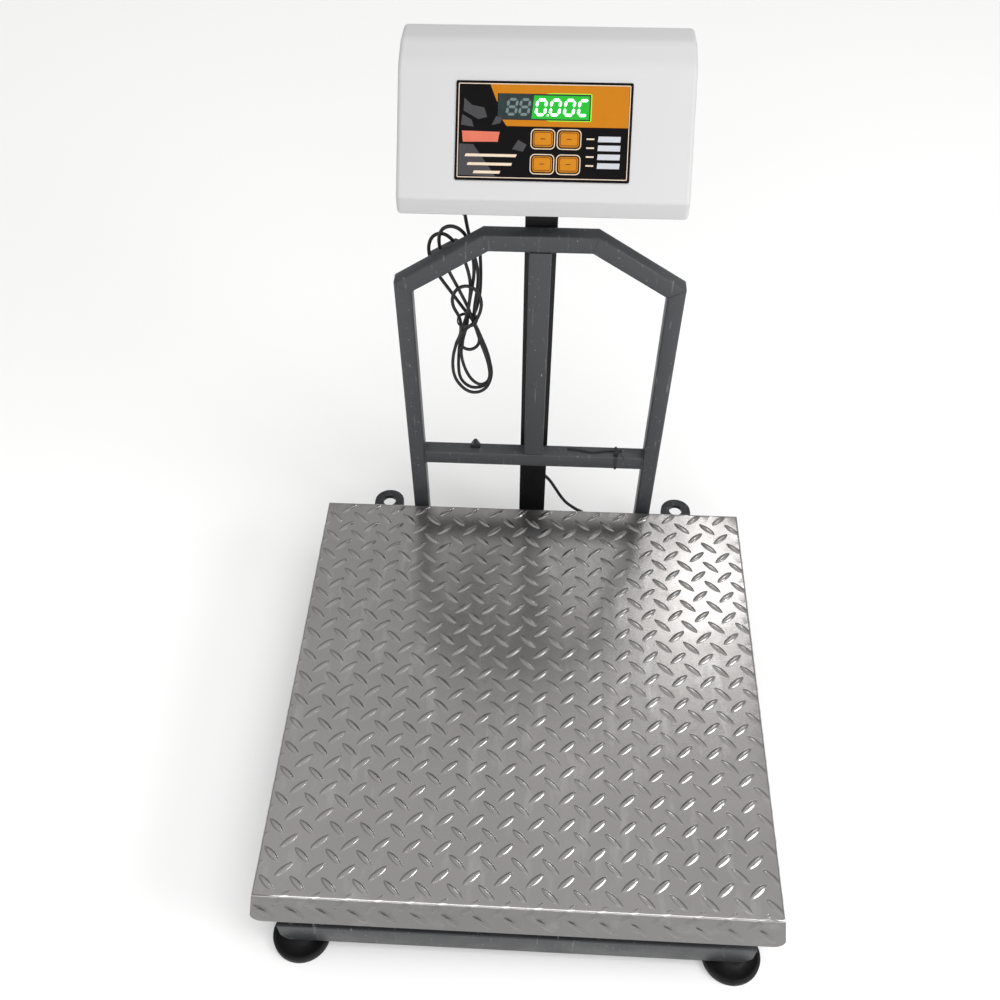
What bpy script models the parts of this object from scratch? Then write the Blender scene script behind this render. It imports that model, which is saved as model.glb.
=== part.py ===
"""Electronic platform scale: tread-plate pan on a single-point load cell, tubular
base and backrest, and a wedge-shaped indicator head on a post.

Metres, +Z up, +Y towards the back. The floor is z = 0.
"""

import math

import bmesh
import bpy
from mathutils import Matrix, Vector

# Driving dimensions --------------------------------------------------------
GAP = 0.0003  # clearance between pieces that touch

PAN_SIZE = 0.500
PAN_TOP = 0.130
PAN_Y = -0.0605  # pan's centre: the whole scale is centred on y = 0
PAN_SHEET = 0.002
SKIRT_DEPTH = 0.045
SKIRT_FLARE = 0.19  # outward run per metre of drop
SKIRT_CORNER = 0.010

BASE_WIDTH = 0.476
BASE_FRONT = PAN_Y - 0.2535
BASE_BACK = PAN_Y + 0.287
RAIL_HEIGHT = 0.038
RAIL_DEPTH = 0.025
RAIL_TOP = PAN_TOP - 0.072
RAIL_BOTTOM = RAIL_TOP - RAIL_HEIGHT
RAIL_WALL = 0.002
RAIL_BEVEL = (0.006, 0.012)  # width and height cut off each lower end corner
BEAM_DEPTH = 0.050

FOOT_RADIUS = 0.030
FOOT_X = 0.222
FOOT_INSET = 0.0125
PAD_EDGE = 0.009
PAD_HUB = 0.0125
STUD_RADIUS = 0.005

CELL_LENGTH = 0.150
CELL_WIDTH = 0.040
CELL_TOP = PAN_TOP - 0.0332
CELL_BOTTOM = PAN_TOP - 0.0632
CELL_END = 0.052  # from the cell's centre to the middle of each mounting pad
CELL_TRAVEL_GAP = 0.0008

WEIGH_HALF = 0.240
WEIGH_BAR = 0.025
WEIGH_TOP = PAN_TOP - 0.0024
WEIGH_BOTTOM = WEIGH_TOP - WEIGH_BAR

LUG_X = 0.188
LUG_WIDTH = 0.038
LUG_HOLE = 0.0084
LUG_EYE_Y = PAN_Y + 0.3165
LUG_THICKNESS = 0.005

TUBE = 0.018
TUBE_WALL = 0.0015
UPRIGHT = 0.022
BACKREST_FRONT = PAN_Y + 0.265
BACKREST_HALF = 0.1465
SHOULDER_Z = PAN_TOP + 0.313
TOP_BAR_HALF = 0.056
TOP_BAR_Z = PAN_TOP + 0.3705
CROSSBAR_Z = PAN_TOP + 0.0595

POST = 0.03175
POST_WALL = 0.002
POST_FRONT = BASE_BACK + GAP
POST_Y = POST_FRONT + POST / 2
POST_TOP = PAN_TOP + 0.3984

HEAD_HALF = 0.134
HEAD_FRONT = PAN_Y + 0.2475
HEAD_BACK = 0.3315
HEAD_BOTTOM = PAN_TOP + 0.4032
HEAD_TOP = PAN_TOP + 0.513
HEAD_WALL = 0.003
LIP = 0.0165
PANEL_TILT = math.radians(43.6)  # from the vertical
PANEL_LENGTH = 0.116
COVER_INSET = HEAD_WALL + GAP

LABEL_X = -0.0015
LABEL_UP = 0.0592
LABEL_SIZE = (0.158, 0.085)
LABEL_THICKNESS = 0.0007
WINDOW_UP = 0.0801
WINDOW_SIZE = (0.0825, 0.0215)
KEY_SIZE = (0.018, 0.0135)
KEY_X = (-0.0015, 0.0220)
KEY_UP = (0.0530, 0.0315)
KEY_DEPTH = 0.0098
KEY_PROUD = 0.0008

CORD_RADIUS = 0.0018
CABLE_RADIUS = 0.0020
HANK_Y = (PAN_Y + 0.2865, PAN_Y + 0.3005)
HANK_TOP = (-0.092, PAN_TOP + 0.340, 0.022)  # x, z and radius of the upper round end
HANK_LOW = (-0.0725, PAN_TOP + 0.167, 0.0245)
CORD_EXIT = Vector((-0.076, PAN_Y + 0.300, HEAD_BOTTOM))
CABLE_ENTRY = Vector((0.004, PAN_Y + 0.3345, HEAD_BOTTOM))
PLUG_AT = (-0.093, PAN_Y + 0.3098, PAN_TOP + 0.316)
PIN_SPACING = 0.0152
PLUG_SLOPE = math.radians(34)


# Materials -----------------------------------------------------------------
def material(name, color, roughness, metallic=0.0, emission=0.0):
    made = bpy.data.materials.new(name)
    made.use_nodes = True
    shader = made.node_tree.nodes["Principled BSDF"]
    shader.inputs["Base Color"].default_value = (*color, 1.0)
    shader.inputs["Roughness"].default_value = roughness
    shader.inputs["Metallic"].default_value = metallic
    shader.inputs["Emission Color"].default_value = (*color, 1.0)
    shader.inputs["Emission Strength"].default_value = emission
    made.diffuse_color = (*color, 1.0)
    return made


# Mesh helpers --------------------------------------------------------------
def finish(name, bm, mat, at=(0, 0, 0), parent=None, smooth=False):
    """A named object from a bmesh whose points are relative to its own origin."""
    bmesh.ops.recalc_face_normals(bm, faces=bm.faces)
    mesh = bpy.data.meshes.new(name)
    bm.to_mesh(mesh)
    bm.free()
    return place(name, mesh, mat, at, parent, smooth)


def place(name, mesh, mat, at=(0, 0, 0), parent=None, smooth=False):
    obj = bpy.data.objects.new(name, mesh)
    bpy.context.scene.collection.objects.link(obj)
    if not mesh.materials:
        mesh.materials.append(mat)
    if smooth:
        mesh.shade_smooth()
        mesh.set_sharp_from_angle(angle=math.radians(35))
    obj.location = at
    obj.parent = parent
    return obj


def add_box(bm, low, high):
    places = [(x, y, z) for x in (low[0], high[0]) for y in (low[1], high[1]) for z in (low[2], high[2])]
    corners = [bm.verts.new(place) for place in places]
    for face in ((0, 1, 3, 2), (4, 6, 7, 5), (0, 4, 5, 1), (2, 3, 7, 6), (0, 2, 6, 4), (1, 5, 7, 3)):
        bm.faces.new([corners[i] for i in face])


def box(name, low, high, mat, at=(0, 0, 0), parent=None):
    bm = bmesh.new()
    add_box(bm, low, high)
    return finish(name, bm, mat, at, parent)


def loft(name, stations, mat, at=(0, 0, 0)):
    """A tube through (outer ring, inner ring) pairs, open at both ends."""
    bm = bmesh.new()
    rings = [[[bm.verts.new(p) for p in ring] for ring in pair] for pair in stations]
    count = len(rings[0][0])
    for first, second in zip(rings, rings[1:]):
        for side in (0, 1):
            for i in range(count):
                j = (i + 1) % count
                bm.faces.new((first[side][i], first[side][j], second[side][j], second[side][i]))
    for outer, inner in (rings[0], rings[-1]):
        for i in range(count):
            j = (i + 1) % count
            bm.faces.new((outer[i], outer[j], inner[j], inner[i]))
    return finish(name, bm, mat, at)


def bar(name, low, high, axis, wall, mat):
    """A rectangular tube between two corners, running along one axis."""
    across = [i for i in range(3) if i != axis]

    def ring(along, inset):
        points = []
        for u, v in ((0, 0), (1, 0), (1, 1), (0, 1)):
            point = [0.0, 0.0, 0.0]
            point[axis] = along
            point[across[0]] = (low, high)[u][across[0]] + (1 - 2 * u) * inset
            point[across[1]] = (low, high)[v][across[1]] + (1 - 2 * v) * inset
            points.append(point)
        return points

    stations = [(ring(end[axis], 0.0), ring(end[axis], wall)) for end in (low, high)]
    return loft(name, stations, mat)


def revolve(bm, profile, sides):
    """Turn an (radius, z) outline about Z; a point of radius 0 closes an end."""
    rings = []
    for radius, z in profile:
        if radius == 0:
            rings.append([bm.verts.new((0, 0, z))] * sides)
            continue
        turns = [2 * math.pi * i / sides for i in range(sides)]
        rings.append([bm.verts.new((radius * math.cos(a), radius * math.sin(a), z)) for a in turns])
    closed = profile[0] != profile[-1] and all(radius > 0 for radius, _ in profile)
    pairs = list(zip(rings, rings[1:])) + ([(rings[-1], rings[0])] if closed else [])
    for lower, upper in pairs:
        for i in range(sides):
            j = (i + 1) % sides
            corners = [lower[i], lower[j], upper[j], upper[i]]
            bm.faces.new(list(dict.fromkeys(corners)))


def turned(name, profile, mat, at=(0, 0, 0), sides=24, parent=None):
    bm = bmesh.new()
    revolve(bm, profile, sides)
    return finish(name, bm, mat, at, parent, smooth=True)


def prism(bm, outline, low, high, axis):
    """Extrude an outline in the two other axes between two levels of this one."""
    across = [i for i in range(3) if i != axis]
    rings = []
    for level in (low, high):
        ring = []
        for u, v in outline:
            point = [0.0, 0.0, 0.0]
            point[axis], point[across[0]], point[across[1]] = level, u, v
            ring.append(bm.verts.new(point))
        rings.append(ring)
        bm.faces.new(ring)
    for i in range(len(outline)):
        j = (i + 1) % len(outline)
        bm.faces.new((rings[0][i], rings[0][j], rings[1][j], rings[1][i]))


def arc(centre, radius, start, end, steps):
    """Points on an arc, with angles in degrees."""
    angles = [math.radians(start + (end - start) * i / steps) for i in range(steps + 1)]
    return [(centre[0] + radius * math.cos(a), centre[1] + radius * math.sin(a)) for a in angles]


def rounded(points, radii, steps=5):
    """An outline with each corner rounded by its own radius."""
    made = []
    for i, (corner, radius) in enumerate(zip(points, radii)):
        here = Vector(corner)
        back = (Vector(points[i - 1]) - here).normalized()
        ahead = (Vector(points[(i + 1) % len(points)]) - here).normalized()
        if radius == 0:
            made.append(tuple(here))
            continue
        half = back.angle(ahead) / 2
        reach = radius / math.tan(half)
        centre = here + (back + ahead).normalized() * (radius / math.sin(half))
        start = here + back * reach - centre
        sweep = (here + ahead * reach - centre).angle_signed(start)
        for step in range(steps + 1):
            turn = sweep * step / steps
            x = start.x * math.cos(turn) - start.y * math.sin(turn)
            y = start.x * math.sin(turn) + start.y * math.cos(turn)
            made.append((centre.x + x, centre.y + y))
    return made


def offset_path(path, distance):
    """An open path moved to the right of its travel, with mitred corners."""
    made = []
    for i, point in enumerate(path):
        here = Vector(point)
        before = here - Vector(path[i - 1]) if i else None
        after = Vector(path[i + 1]) - here if i + 1 < len(path) else None
        normals = [Vector((way.y, -way.x)).normalized() for way in (before, after) if way]
        middle = sum(normals, Vector((0, 0))).normalized()
        made.append(here + middle * (distance / middle.dot(normals[0])))
    return made


def cylinder(bm, radius, low, high, sides=16):
    revolve(bm, [(0, low), (radius, low), (radius, high), (0, high)], sides)


def cutter(name, bm, parent=None):
    """A helper solid that only Booleans read."""
    bmesh.ops.recalc_face_normals(bm, faces=bm.faces)
    mesh = bpy.data.meshes.new(name)
    bm.to_mesh(mesh)
    bm.free()
    obj = bpy.data.objects.new(name, mesh)
    bpy.context.scene.collection.objects.link(obj)
    obj.hide_render = True
    obj.display_type = "WIRE"
    obj.parent = parent
    return obj


def combine(target, other, operation="DIFFERENCE"):
    modifier = target.modifiers.new(other.name, "BOOLEAN")
    modifier.operation = operation
    modifier.object = other


def drill(target, centre, radius, low, high):
    """An upright round hole."""
    bm = bmesh.new()
    cylinder(bm, radius, low, high)
    tool = cutter(f"{target.name}_hole", bm)
    tool.location = (centre[0], centre[1], 0)
    combine(target, tool)


# Base ----------------------------------------------------------------------
def base_rails(paint):
    half = BASE_WIDTH / 2
    front_back = BASE_FRONT + RAIL_DEPTH
    rear_front = BASE_BACK - RAIL_DEPTH
    rails = {
        "base_rail_front": bar(
            "base_rail_front", (-half, BASE_FRONT, RAIL_BOTTOM), (half, front_back, RAIL_TOP), 0, RAIL_WALL, paint
        ),
        "base_rail_rear": bar(
            "base_rail_rear", (-half, rear_front, RAIL_BOTTOM), (half, BASE_BACK, RAIL_TOP), 0, RAIL_WALL, paint
        ),
    }
    for name, side in (("base_rail_left", -1), ("base_rail_right", 1)):
        xs = sorted((side * half, side * (half - RAIL_DEPTH)))
        low = (xs[0], front_back + GAP, RAIL_BOTTOM)
        high = (xs[1], rear_front - GAP, RAIL_TOP)
        bar(name, low, high, 1, RAIL_WALL, paint)
    for x in (-FOOT_X, FOOT_X):
        ends = (("base_rail_front", BASE_FRONT + FOOT_INSET), ("base_rail_rear", BASE_BACK - FOOT_INSET))
        for rail, y in ends:
            drill(rails[rail], (x, y), STUD_RADIUS + GAP, RAIL_BOTTOM - 0.002, RAIL_BOTTOM + 0.006)
    for rail in rails.values():
        bevel_ends(rail)


def bevel_ends(rail):
    """Cut a slanted corner off each lower end of a rail."""
    width, height = RAIL_BEVEL
    reach = 2.0  # the cutting wedge goes down this many bevel heights
    for side in (-1, 1):
        end = side * BASE_WIDTH / 2
        top = RAIL_BOTTOM + height
        floor = top - reach * height
        outside = end + side * 0.010
        outline = [(end, top), (outside, top), (outside, floor), (end - side * width * reach, floor)]
        bm = bmesh.new()
        prism(bm, outline, BASE_FRONT - 0.01, BASE_BACK + 0.01, 1)
        combine(rail, cutter(f"{rail.name}_bevel_{side + 1}", bm))


def load_beam(name, low_z, high_z, bolt_x, bolts_in_top, paint, half_length):
    """A cross beam with two bolt holes in one wall and spanner holes in the other."""
    low = (-half_length, PAN_Y - BEAM_DEPTH / 2, low_z)
    high = (half_length, PAN_Y + BEAM_DEPTH / 2, high_z)
    beam = bar(name, low, high, 0, RAIL_WALL, paint)
    bolt_wall, tool_wall = (high_z, low_z) if bolts_in_top else (low_z, high_z)
    for y in (PAN_Y - 0.012, PAN_Y + 0.012):
        drill(beam, (bolt_x, y), 0.0043, bolt_wall - 0.004, bolt_wall + 0.004)
        drill(beam, (bolt_x, y), 0.0080, tool_wall - 0.004, tool_wall + 0.004)
    return beam


def fixing_lugs(paint):
    for name, side in (("fixing_lug_left", -1), ("fixing_lug_right", 1)):
        bm = bmesh.new()
        eye = (side * LUG_X, LUG_EYE_Y)
        half = LUG_WIDTH / 2
        root = BASE_BACK - RAIL_DEPTH + 0.003
        outline = [(eye[0] - half, root), (eye[0] + half, root)] + arc(eye, half, 0, 180, 12)
        prism(bm, outline, RAIL_TOP + GAP, RAIL_TOP + GAP + LUG_THICKNESS, 2)
        lug = finish(name, bm, paint, smooth=True)
        drill(lug, eye, LUG_HOLE, RAIL_TOP - 0.002, RAIL_TOP + 0.010)


def feet(rubber, steel):
    """Levelling feet: a moulded pad on a threaded stud with a hexagon collar."""
    pad = [
        (FOOT_RADIUS, 0.0),
        (FOOT_RADIUS, PAD_EDGE - 0.002),
        (FOOT_RADIUS - 0.002, PAD_EDGE),
        (0.0105, PAD_EDGE),
        (0.0095, PAD_HUB),
        (STUD_RADIUS + GAP, PAD_HUB),
        (STUD_RADIUS + GAP, 0.004),
        (0, 0.004),
    ]
    rear = BASE_BACK - FOOT_INSET
    front = BASE_FRONT + FOOT_INSET
    places = (("front_left", -FOOT_X, front), ("front_right", FOOT_X, front))
    places += (("rear_left", -FOOT_X, rear), ("rear_right", FOOT_X, rear))
    for where, x, y in places:
        turned(f"foot_pad_{where}", [(0, 0.0)] + pad, rubber, (x, y, 0))
        stud = turned(
            f"foot_stud_{where}",
            [(0, 0.004 + GAP), (STUD_RADIUS, 0.004 + GAP), (STUD_RADIUS, 0.044), (0, 0.045)],
            steel,
            (x, y, 0),
            sides=12,
        )
        bm = bmesh.new()
        cylinder(bm, 0.0096, PAD_HUB + GAP, RAIL_BOTTOM - 0.0008, sides=6)
        collar = cutter(f"collar_{where}", bm, stud)
        combine(stud, collar, "UNION")


# Load cell and weighing frame ----------------------------------------------
def load_cell(metal, steel):
    """Single-point cell: fixed at +X, loaded at -X, thinned by a central slot."""
    bm = bmesh.new()
    add_box(
        bm,
        (-CELL_LENGTH / 2, PAN_Y - CELL_WIDTH / 2, CELL_BOTTOM),
        (CELL_LENGTH / 2, PAN_Y + CELL_WIDTH / 2, CELL_TOP),
    )
    cell = finish("load_cell", bm, metal)
    bm = bmesh.new()
    middle = (CELL_BOTTOM + CELL_TOP) / 2
    slot = arc((0.017, middle), 0.010, -90, 90, 8) + arc((-0.017, middle), 0.010, 90, 270, 8)
    prism(bm, slot, PAN_Y - 0.03, PAN_Y + 0.03, 1)
    combine(cell, cutter("cell_slot", bm))
    low_top = CELL_BOTTOM - GAP
    box(
        "lower_spacer",
        (CELL_END - 0.022, PAN_Y - CELL_WIDTH / 2, RAIL_TOP + GAP),
        (CELL_END + 0.022, PAN_Y + CELL_WIDTH / 2, low_top),
        steel,
    )
    box(
        "upper_spacer",
        (-CELL_END - 0.022, PAN_Y - CELL_WIDTH / 2, CELL_TOP + CELL_TRAVEL_GAP),
        (-CELL_END + 0.022, PAN_Y + CELL_WIDTH / 2, WEIGH_BOTTOM - GAP),
        steel,
    )
    cell_bolts(cell, steel)


def cell_bolts(cell, steel):
    """Two socket-head bolts up into the fixed end, and two down into the loaded end."""
    lower = bpy.data.objects["lower_spacer"]
    upper = bpy.data.objects["upper_spacer"]
    ends = (
        ("fixed", CELL_END, RAIL_TOP - RAIL_WALL - GAP, 1, lower, CELL_BOTTOM),
        ("loaded", -CELL_END, WEIGH_BOTTOM + RAIL_WALL + GAP, -1, upper, CELL_TOP),
    )
    for end, x, seat, way, spacer, face in ends:
        for side, y in (("front", PAN_Y - 0.012), ("rear", PAN_Y + 0.012)):
            tip = face + way * 0.012
            profile = [(0, seat - way * 0.008), (0.0065, seat - way * 0.008), (0.0065, seat)]
            profile += [(0.004, seat), (0.004, tip), (0, tip)]
            turned(f"cell_bolt_{end}_{side}", profile, steel, (x, y, 0), sides=12)
            spans = sorted((face - way * 0.02, face + way * 0.0132))
            drill(cell, (x, y), 0.0043, *spans)
            drill(spacer, (x, y), 0.0043, *spans)


def overload_stop(steel):
    """A stop bolt in the base beam, just under the cell's loaded end."""
    beam = bpy.data.objects["base_beam"]
    drill(beam, (-CELL_END, PAN_Y), 0.0043, RAIL_TOP - 0.004, RAIL_TOP + 0.004)
    profile = [(0, RAIL_TOP - 0.010), (0.004, RAIL_TOP - 0.010), (0.004, RAIL_TOP + GAP)]
    top = CELL_BOTTOM - CELL_TRAVEL_GAP
    profile += [(0.0075, RAIL_TOP + GAP), (0.0075, top), (0, top)]
    turned("overload_stop", profile, steel, (-CELL_END, PAN_Y, 0), sides=12)


def weighing_frame(paint):
    inner = WEIGH_HALF - WEIGH_BAR
    for name, side in (("weigh_rail_left", -1), ("weigh_rail_right", 1)):
        xs = sorted((side * WEIGH_HALF, side * inner))
        low = (xs[0], PAN_Y - WEIGH_HALF, WEIGH_BOTTOM)
        bar(name, low, (xs[1], PAN_Y + WEIGH_HALF, WEIGH_TOP), 1, RAIL_WALL, paint)
    for name, side in (("weigh_rail_front", -1), ("weigh_rail_rear", 1)):
        ys = sorted((PAN_Y + side * WEIGH_HALF, PAN_Y + side * inner))
        low = (-inner + GAP, ys[0], WEIGH_BOTTOM)
        bar(name, low, (inner - GAP, ys[1], WEIGH_TOP), 0, RAIL_WALL, paint)
    load_beam("weigh_beam", WEIGH_BOTTOM, WEIGH_TOP, -CELL_END, False, paint, inner - GAP)


# Pan -----------------------------------------------------------------------
def skirt_ring(half_at, inset):
    """Points along the skirt's lower edge, with round-cornered flaps: (x, y, drop)."""
    flap = []
    corner_drop = SKIRT_DEPTH - SKIRT_CORNER
    for along, down in arc((SKIRT_CORNER, -corner_drop), SKIRT_CORNER, 180, 270, 4)[1:]:
        flap.append((along, -down))
    ring = []
    for quarter in range(4):
        turn = quarter * math.pi / 2
        runs = [(-half_at(corner_drop), corner_drop)]
        runs += [(-half_at(drop) + max(along, inset), drop) for along, drop in flap]
        runs += [(half_at(drop) - max(along, inset), drop) for along, drop in reversed(flap)]
        for along, drop in runs:
            out = half_at(drop)
            x = along * math.cos(turn) + out * math.sin(turn)
            y = along * math.sin(turn) - out * math.cos(turn)
            ring.append((x, y, -drop))
    return ring


def pan(steel):
    """Folded tray: a flat top and four splayed flaps, open underneath."""
    run = math.hypot(1.0, SKIRT_FLARE)
    bm = bmesh.new()
    sides = 4
    skins = []
    for inset in (0.0, PAN_SHEET):
        def half_at(drop, inset=inset):
            return PAN_SIZE / 2 + SKIRT_FLARE * drop - inset * run

        top_half = half_at(inset)
        signs = ((-1, -1), (1, -1), (1, 1), (-1, 1))
        top = [bm.verts.new((sx * top_half, sy * top_half, -inset)) for sx, sy in signs]
        ring = [bm.verts.new(p) for p in skirt_ring(half_at, 0.0)]
        bm.faces.new(top)
        per_side = len(ring) // sides
        for side in range(sides):
            low = [ring[(side * per_side + i) % len(ring)] for i in range(per_side + 1)]
            bm.faces.new([top[side]] + low + [top[(side + 1) % sides]])
        skins.append(ring)
    outer, inner = skins
    for i in range(len(outer)):
        j = (i + 1) % len(outer)
        bm.faces.new((outer[i], outer[j], inner[j], inner[i]))
    finish("pan", bm, steel, (0, PAN_Y, PAN_TOP))


# Backrest and post ---------------------------------------------------------
def backrest(paint):
    """Two bent side tubes, a top bar, a crossbar and a centre upright."""
    outline = [
        (-BACKREST_HALF, RAIL_TOP + GAP),
        (-BACKREST_HALF, SHOULDER_Z),
        (-TOP_BAR_HALF, TOP_BAR_Z),
        (TOP_BAR_HALF, TOP_BAR_Z),
        (BACKREST_HALF, SHOULDER_Z),
        (BACKREST_HALF, RAIL_TOP + GAP),
    ]
    edges = [offset_path(outline, d) for d in (0.0, TUBE_WALL, TUBE - TUBE_WALL, TUBE)]
    front = (BACKREST_FRONT, BACKREST_FRONT + TUBE_WALL)
    back = (BACKREST_FRONT + TUBE, BACKREST_FRONT + TUBE - TUBE_WALL)

    def station(i, shift=0.0):
        rings = []
        for (near, far), y0, y1 in (((0, 3), front[0], back[0]), ((1, 2), front[1], back[1])):
            a, b = edges[near][i], edges[far][i]
            rings.append([(p.x + shift, y, p.y) for p, y in ((a, y0), (b, y0), (b, y1), (a, y1))])
        return rings

    loft("backrest_left", [station(0), station(1), station(2)], paint)
    loft("backrest_top", [station(2, GAP), station(3, -GAP)], paint)
    loft("backrest_right", [station(3), station(4), station(5)], paint)
    inner = BACKREST_HALF - TUBE - GAP
    low = (-inner, BACKREST_FRONT, CROSSBAR_Z)
    bar("backrest_crossbar", low, (inner, BACKREST_FRONT + TUBE, CROSSBAR_Z + TUBE), 0, TUBE_WALL, paint)
    low = (-UPRIGHT / 2, BACKREST_FRONT, CROSSBAR_Z + TUBE + GAP)
    high = (UPRIGHT / 2, BACKREST_FRONT + TUBE, TOP_BAR_Z - TUBE - GAP)
    bar("backrest_upright", low, high, 2, TUBE_WALL, paint)


def crossbar_clip(plastic):
    """Small saddle clip on the crossbar's back edge."""
    bm = bmesh.new()
    base = CROSSBAR_Z + TUBE + GAP
    outline = [(-0.006, base), (0.006, base), (0.0045, base + 0.003), (0.0015, base + 0.008)]
    outline += [(-0.0015, base + 0.008), (-0.0045, base + 0.003)]
    prism(bm, outline, BACKREST_FRONT + 0.009, BACKREST_FRONT + 0.0165, 1)
    bmesh.ops.translate(bm, verts=bm.verts, vec=(-0.069, 0, 0))
    finish("crossbar_clip", bm, plastic)


def post(paint, steel):
    low = (-POST / 2, POST_FRONT, RAIL_BOTTOM)
    bar("post", low, (POST / 2, POST_FRONT + POST, POST_TOP), 2, POST_WALL, paint)
    plate = box(
        "post_plate",
        (-0.045, POST_Y - 0.022, POST_TOP + GAP),
        (0.045, POST_Y + 0.022, HEAD_BOTTOM - GAP),
        paint,
    )
    floor = bpy.data.objects["head_back"]
    for side, x in (("left", -0.032), ("right", 0.032)):
        for target in (plate, floor):
            drill(target, (x, POST_Y), 0.0034, HEAD_BOTTOM - 0.010, HEAD_BOTTOM + 0.006)
        seat = HEAD_BOTTOM + HEAD_WALL + GAP
        profile = [(0, HEAD_BOTTOM - 0.012), (0.003, HEAD_BOTTOM - 0.012), (0.003, seat)]
        profile += [(0.0058, seat), (0.0058, seat + 0.004), (0, seat + 0.004)]
        turned(f"head_bolt_{side}", profile, steel, (x, POST_Y, 0), sides=12)


# Indicator head ------------------------------------------------------------
def head_outline(inset):
    """Side view of the head: (y, z) from the front lip over the panel to the back."""
    fold_z = HEAD_BOTTOM + LIP
    bend_y = HEAD_FRONT + PANEL_LENGTH * math.sin(PANEL_TILT)
    bend_z = fold_z + PANEL_LENGTH * math.cos(PANEL_TILT)
    drop = 0.001 if inset == 0 else 0.02
    outer = [
        (HEAD_FRONT, HEAD_BOTTOM - drop),
        (HEAD_FRONT, fold_z),
        (bend_y, bend_z),
        (bend_y + 0.028, HEAD_TOP),
        (HEAD_BACK, HEAD_TOP - 0.002),
        (HEAD_BACK, HEAD_BOTTOM - drop),
    ]
    path = offset_path(outer, inset)
    ends = (HEAD_BOTTOM if inset == 0 else HEAD_BOTTOM - drop)
    back = HEAD_BACK if inset == 0 else HEAD_BACK + drop
    points = [(path[0].x, ends)] + [tuple(p) for p in path[1:4]]
    points += [(back, path[4].y), (back, ends)]
    scale = 1.0 if inset == 0 else 0.6
    return rounded(points, [0, 0.004 * scale, 0.030 * scale, 0.030 * scale, 0.008 if inset == 0 else 0, 0])


def head_shell(plastic, panel):
    bm = bmesh.new()
    prism(bm, head_outline(0.0), -HEAD_HALF, HEAD_HALF, 0)
    shell = finish("head_shell", bm, plastic, smooth=True)
    bm = bmesh.new()
    prism(bm, head_outline(HEAD_WALL), HEAD_WALL - HEAD_HALF, HEAD_HALF - HEAD_WALL, 0)
    combine(shell, cutter("head_hollow", bm))
    cut_panel(shell, panel, -0.008, 0.004, GAP)


def cut_panel(target, panel, low, high, clearance):
    """Window and key openings through a layer of the panel."""
    openings = [(LABEL_X, WINDOW_UP, WINDOW_SIZE)]
    openings += [(x, up, KEY_SIZE) for up in KEY_UP for x in KEY_X]
    for i, (x, up, size) in enumerate(openings):
        bm = bmesh.new()
        half = (size[0] / 2 + clearance, size[1] / 2 + clearance)
        add_box(bm, (x - half[0], up - half[1], low), (x + half[0], up + half[1], high))
        combine(target, cutter(f"{target.name}_opening_{i}", bm, panel))


def head_back(plastic):
    """The head's floor and back wall, one bent cover inside the shell's rim."""
    inner = HEAD_HALF - COVER_INSET
    front = HEAD_FRONT + COVER_INSET
    top = HEAD_TOP - 0.002 - COVER_INSET - 0.0005
    bm = bmesh.new()
    outline = [
        (front, HEAD_BOTTOM),
        (HEAD_BACK, HEAD_BOTTOM),
        (HEAD_BACK, top),
        (HEAD_BACK - HEAD_WALL, top),
        (HEAD_BACK - HEAD_WALL, HEAD_BOTTOM + HEAD_WALL),
        (front, HEAD_BOTTOM + HEAD_WALL),
    ]
    prism(bm, outline, -inner, inner, 0)
    cover = finish("head_back", bm, plastic)
    for spot in (CORD_EXIT, CABLE_ENTRY):
        drill(cover, spot, 0.0055, HEAD_BOTTOM - 0.003, HEAD_BOTTOM + 0.006)
    bm = bmesh.new()
    add_box(bm, (0.0795, PAN_Y + 0.3375, HEAD_BOTTOM - 0.003), (0.1005, PAN_Y + 0.3525, HEAD_BOTTOM + 0.006))
    combine(cover, cutter("switch_opening", bm))


def panel_parts(panel, film, smoke, led, green, key_mat):
    """Printed label, window, display, circuit board and keys, set on the panel."""
    half = (LABEL_SIZE[0] / 2, LABEL_SIZE[1] / 2)
    label = box(
        "label_film",
        (LABEL_X - half[0], LABEL_UP - half[1], GAP),
        (LABEL_X + half[0], LABEL_UP + half[1], GAP + LABEL_THICKNESS),
        film,
        parent=panel,
    )
    cut_panel(label, panel, -0.002, 0.004, GAP)
    half = (WINDOW_SIZE[0] / 2, WINDOW_SIZE[1] / 2)
    box(
        "display_window",
        (LABEL_X - half[0], WINDOW_UP - half[1], -0.0010),
        (LABEL_X + half[0], WINDOW_UP + half[1], 0.0006),
        smoke,
        parent=panel,
    )
    box(
        "display_module",
        (LABEL_X - half[0] + 0.001, WINDOW_UP - half[1] + 0.001, -0.0100),
        (LABEL_X + half[0] - 0.001, WINDOW_UP + half[1] - 0.001, -0.0014),
        led,
        parent=panel,
    )
    box("main_board", (-0.070, 0.018, -0.0120), (0.070, 0.098, -0.0104), green, parent=panel)
    rows = zip(("upper", "lower"), KEY_UP)
    columns = list(zip(("left", "right"), KEY_X))
    tops = ((f"key_{row}_{column}", x, up) for row, up in rows for column, x in columns)
    for name, x, up in tops:
        bm = bmesh.new()
        u, v = KEY_SIZE[0] / 2, KEY_SIZE[1] / 2
        corners = rounded([(-u, -v), (u, -v), (u, v), (-u, v)], [0.003] * 4, 3)
        top = KEY_PROUD + GAP + LABEL_THICKNESS
        prism(bm, corners, top - KEY_DEPTH, top, 2)
        finish(name, bm, key_mat, (x, up, 0), panel)


def head_internals(battery_mat, coil_mat):
    floor = HEAD_BOTTOM + HEAD_WALL + GAP
    box("battery", (-0.118, PAN_Y + 0.338, floor), (-0.018, PAN_Y + 0.385, floor + 0.066), battery_mat)
    box("transformer", (0.020, PAN_Y + 0.344, floor), (0.066, PAN_Y + 0.382, floor + 0.036), coil_mat)


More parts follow.
